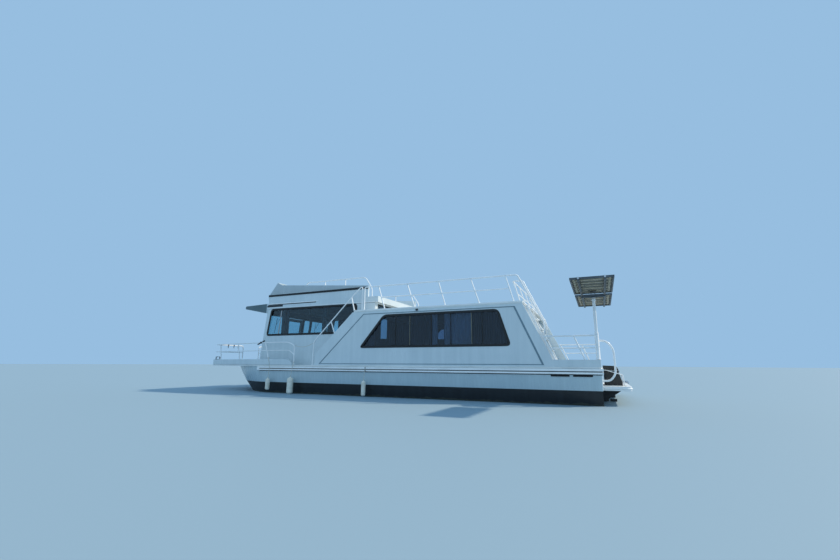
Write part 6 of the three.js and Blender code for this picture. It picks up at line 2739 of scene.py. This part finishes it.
@dataclass(frozen=True)
class Pad:
    """A foam cushion in a sewn vinyl cover, between two corners of its finished size."""

    name: str
    low: Point
    high: Point


@dataclass
class Seat:
    """A bench with its shell and its cushions."""

    yard: Yard
    node: str
    along: Pair
    across: Pair
    floor: float
    sit: float
    back: float
    places: int
    foam: float = 0.1
    grid: float = 0.012
    swell: float = 0.012

    def build(self) -> None:
        """Dresses the seat."""
        self.yard.hang(f"{self.node}_shell", self.shell, SHADED_GELCOAT, replaces=(self.node,))
        for pad in self.pads():
            cushion = self.sewn(pad)
            self.yard.hang(f"{pad.name}_piping", partial(self.piping, pad), PIPING)

    def shell(self, shape: Shape) -> None:
        """Draws the moulded base with its toe recess, and the back shell.

        Args:
            shape: the empty shape that takes the piece.
        """
        x0, x1 = self.along
        y0, y1 = self.across
        seat = self.floor + self.sit - self.foam
        profile = [
            (x0, self.floor + 0.001), (x1 - 0.05, self.floor + 0.001), (x1 - 0.05, self.floor + 0.07),
            (x1 - 0.004, self.floor + 0.09), (x1 - 0.004, seat), (x0, seat)
        ]
        shape.plate(along_side(profile, y0 + 0.004), (0, y1 - y0 - 0.008, 0), 0.01)
        rear = [
            (x0, seat - 0.02), (x0 + 0.03, seat - 0.02), (x0 + 0.03, self.floor + self.back - 0.012),
            (x0, self.floor + self.back - 0.012)
        ]
        shape.plate(along_side(rear, y0 + 0.004), (0, y1 - y0 - 0.008, 0), 0.008)

    def pads(self) -> list[Pad]:
        """Lists the seat's cushions: one to sit on and one to lean on at each place.

        Returns:
            The cushions, from the starboard end to port.
        """
        x0, x1 = self.along
        y0, y1 = self.across
        wide = (y1 - y0) / self.places
        seat = self.floor + self.sit
        made = []
        for k in range(self.places):
            left, right = y0 + wide * k + 0.006, y0 + wide * (k + 1) - 0.006
            made.append(
                Pad(f"{self.node}_cushion_{k + 1}", (x0 + 0.115, left, seat - self.foam), (x1, right, seat))
            )
            top = self.floor + self.back
            made.append(
                Pad(
                    f"{self.node}_backrest_{k + 1}", (x0 + 0.03, left, seat - self.foam + 0.004),
                    (x0 + 0.11, right, top)
                )
            )
        return made

    def sewn(self, pad: Pad) -> bpy.types.Object:
        """Makes a cushion: a smaller block is blown up as cloth, held to its size, and smoothed.

        Args:
            pad: the cushion.

        Returns:
            The cushion's object.
        """
        inset = Vector((self.swell, self.swell, self.swell))
        low, high = Vector(pad.low) + inset, Vector(pad.high) - inset
        piece = self.yard.hang(pad.name, partial(Shape.block, low=low, high=high, soft=0.016), UPHOLSTERY)
        self.blow_up(piece, pad)
        smooth = piece.modifiers.new("smooth", "SUBSURF")
        smooth.levels = smooth.render_levels = 1
        return piece

    def blow_up(self, piece: bpy.types.Object, pad: Pad) -> None:
        """Runs the cloth on a closed cushion and keeps its result.

        Args:
            piece: the cushion's object.
            pad: the cushion's finished size.
        """
        grid = piece.modifiers.new("grid", "REMESH")
        grid.mode = "VOXEL"
        grid.voxel_size = self.grid
        self.settle(piece)
        start = [v.co.copy() for v in piece.data.vertices]
        cloth = piece.modifiers.new("cover", "CLOTH")
        cloth.settings.use_pressure = True
        cloth.settings.uniform_pressure_force = 4.0
        cloth.settings.effector_weights.gravity = 0.0
        cloth.point_cache.frame_start = 1
        cloth.point_cache.frame_end = 20
        scene = bpy.context.scene
        for frame in range(1, 21):
            scene.frame_set(frame)
        self.settle(piece)
        for vertex, rest in zip(piece.data.vertices, start):
            move = vertex.co - rest
            if move.length > 2 * self.swell:
                move *= 2 * self.swell / move.length
            held = rest + move
            vertex.co = [min(max(c, a), b) for c, a, b in zip(held, pad.low, pad.high)]
        scene.frame_set(1)

    def settle(self, piece: bpy.types.Object) -> None:
        """Applies the piece's modifiers to its mesh.

        Args:
            piece: the piece.
        """
        graph = bpy.context.evaluated_depsgraph_get()
        mesh = bpy.data.meshes.new_from_object(piece.evaluated_get(graph), depsgraph=graph)
        piece.modifiers.clear()
        old = piece.data
        piece.data = mesh
        bpy.data.meshes.remove(old)
        mesh.name = piece.name
        for polygon in mesh.polygons:
            polygon.use_smooth = True

    def piping(self, pad: Pad, shape: Shape) -> None:
        """Draws the welt that is sewn round a cushion's two broad faces.

        Args:
            pad: the cushion.
            shape: the empty shape that takes the piece.
        """
        low, high = Vector(pad.low), Vector(pad.high)
        size = high - low
        thin = min((0, 1, 2), key=size.__getitem__)
        first, second = (axis for axis in (0, 1, 2) if axis != thin)
        edge = 0.011
        ring = oblong(low[first] + edge, high[first] - edge, low[second] + edge, high[second] - edge)
        route = rounded(ring, 0.03, 5)
        for level in (low[thin] + edge, high[thin] - edge):
            points = []
            for a, b in route + route[:1]:
                spot = [0.0, 0.0, 0.0]
                spot[thin], spot[first], spot[second] = level, a, b
                points.append(tuple(spot))
            shape.tube(points, 0.0055, 0, 10)


@dataclass
class Interior:
    """What shows through the glass: soles, linings and the helm console."""

    yard: Yard

    def build(self) -> None:
        """Dresses the inside."""
        yard = self.yard
        yard.moulding("pilot_console", JOINERY, 0.012)
        yard.hang("pilothouse_sole", self.pilot_sole, SOLE)
        yard.hang("cabin_sole", self.cabin_sole, SOLE)
        yard.hang("galley_backboard", self.galley, JOINERY)
        # The headliners take the dark interior finish, which is painted shade
        yard.hang("pilothouse_headliner", partial(self.liner, (-0.25, 3.48), 1.59, 2.4925), INTERIOR_SHADE)
        yard.hang("cabin_headliner", partial(self.liner, (-4.1, -0.36), 1.95, 2.1725), INTERIOR_SHADE)

    def pilot_sole(self, shape: Shape) -> None:
        """Draws the planked sole of the pilothouse.

        Args:
            shape: the empty shape that takes the piece.
        """
        for k in range(20):
            y = -1.56 + 0.156 * k
            shape.block((-0.24, y, 0.7805), (3.16, y + 0.153, 0.788), 0.0012)

    def cabin_sole(self, shape: Shape) -> None:
        """Draws the planked sole of the aft cabin.

        Args:
            shape: the empty shape that takes the piece.
        """
        for k in range(24):
            y = -1.896 + 0.158 * k
            shape.block((-4.58, y, 0.2805), (-0.38, y + 0.155, 0.302), 0.0012)

    def galley(self, shape: Shape) -> None:
        """Draws the backboard and shelf of the galley against the starboard window."""
        shape.block((-1.02, -2.0, 1.0), (-0.62, -1.985, 1.68), 0.003)
        shape.block((-1.02, -1.985, 1.62), (-0.62, -1.9, 1.64), 0.003)

    def liner(self, along: Pair, half: float, low: float, shape: Shape) -> None:
        """Draws a headliner in panels, with the joints between them.

        Args:
            along: its two ends along the boat.
            half: half its width.
            low: the height of its underside.
            shape: the empty shape that takes the piece.
        """
        count = 4
        long = (along[1] - along[0]) / count
        for k in range(count):
            x = along[0] + long * k
            shape.block((x + 0.004, -half, low), (x + long - 0.004, half, low + 0.0065), 0.002)


def hang_curtain(
    yard: Yard, name: str, side: str, span: Pair, drop: Pair, line: float, finish: Finish, waves: int
) -> None:
    """Args:
        yard: holds the model.
        name: the curtain's name, without its side.
        side: port or starboard.
        span: the curtain's two ends along the boat.
        drop: its lower and upper edges.
        line: its track's distance from the centreline.
        finish: its material.
        waves: how many folds it has.
    """
    deep, steps = 0.013, 10 * waves
    folds = []
    for k in range(steps + 1):
        t = k / steps
        folds.append((span[0] + (span[1] - span[0]) * t, line + deep * math.sin(math.tau * waves * t)))
    shape = Shape()
    verts = [shape.bm.verts.new((x, y, drop[0])) for x, y in folds]
    edges = [shape.bm.edges.new(pair) for pair in zip(verts, verts[1:])]
    moved = verts_of(bmesh.ops.extrude_edge_only(shape.bm, edges=edges))
    bmesh.ops.translate(shape.bm, verts=moved, vec=(0, 0, drop[1] - drop[0]))
    bmesh.ops.recalc_face_normals(shape.bm, faces=shape.bm.faces)
    piece = yard.keep(f"{name}_{side}", shape.placed(dict(SIDES)[side]), finish)


def corners() -> list[list[float]]:
    """Gives the whole object's lowest and highest corners as plain numbers."""
    return [[float(c) for c in corner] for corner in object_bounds()]


def main() -> None:
    """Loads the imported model, dresses it, and lights it."""
    logging.basicConfig(level=logging.INFO, format="%(name)s: %(message)s")
    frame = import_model()
    yard = Yard(frame)
    Studio().build()
    for part in (
        Rails(yard), Hull(yard), Deck(yard), Cabin(yard), Pilothouse(yard), Flybridge(yard), Stern(yard),
        SolarArray(yard), Fenders(yard), Interior(yard),
        Helm(
            yard, "pilot", (3.12, 1.4), (3.33, 1.52), (-1.5, -0.56), (2.985, -1.03, 1.33), 1.15, 0.19, 0.098
        ),
        Helm(
            yard, "flybridge", (3.08, 2.99), (3.3, 3.11), (-1.14, -0.16), (2.965, -0.65, 2.96), 1.1, 0.175,
            0.09
        ),
        Seat(yard, "pilot_seat", (2.15, 2.65), (-1.5, -0.56), 0.78, 0.45, 1.0, 1),
        Seat(yard, "flybridge_seat", (1.9, 2.4), (-1.3, 0.0), 2.668, 0.33, 0.62, 2)
    ):
        part.build()


if __name__ == "__main__":
    main()
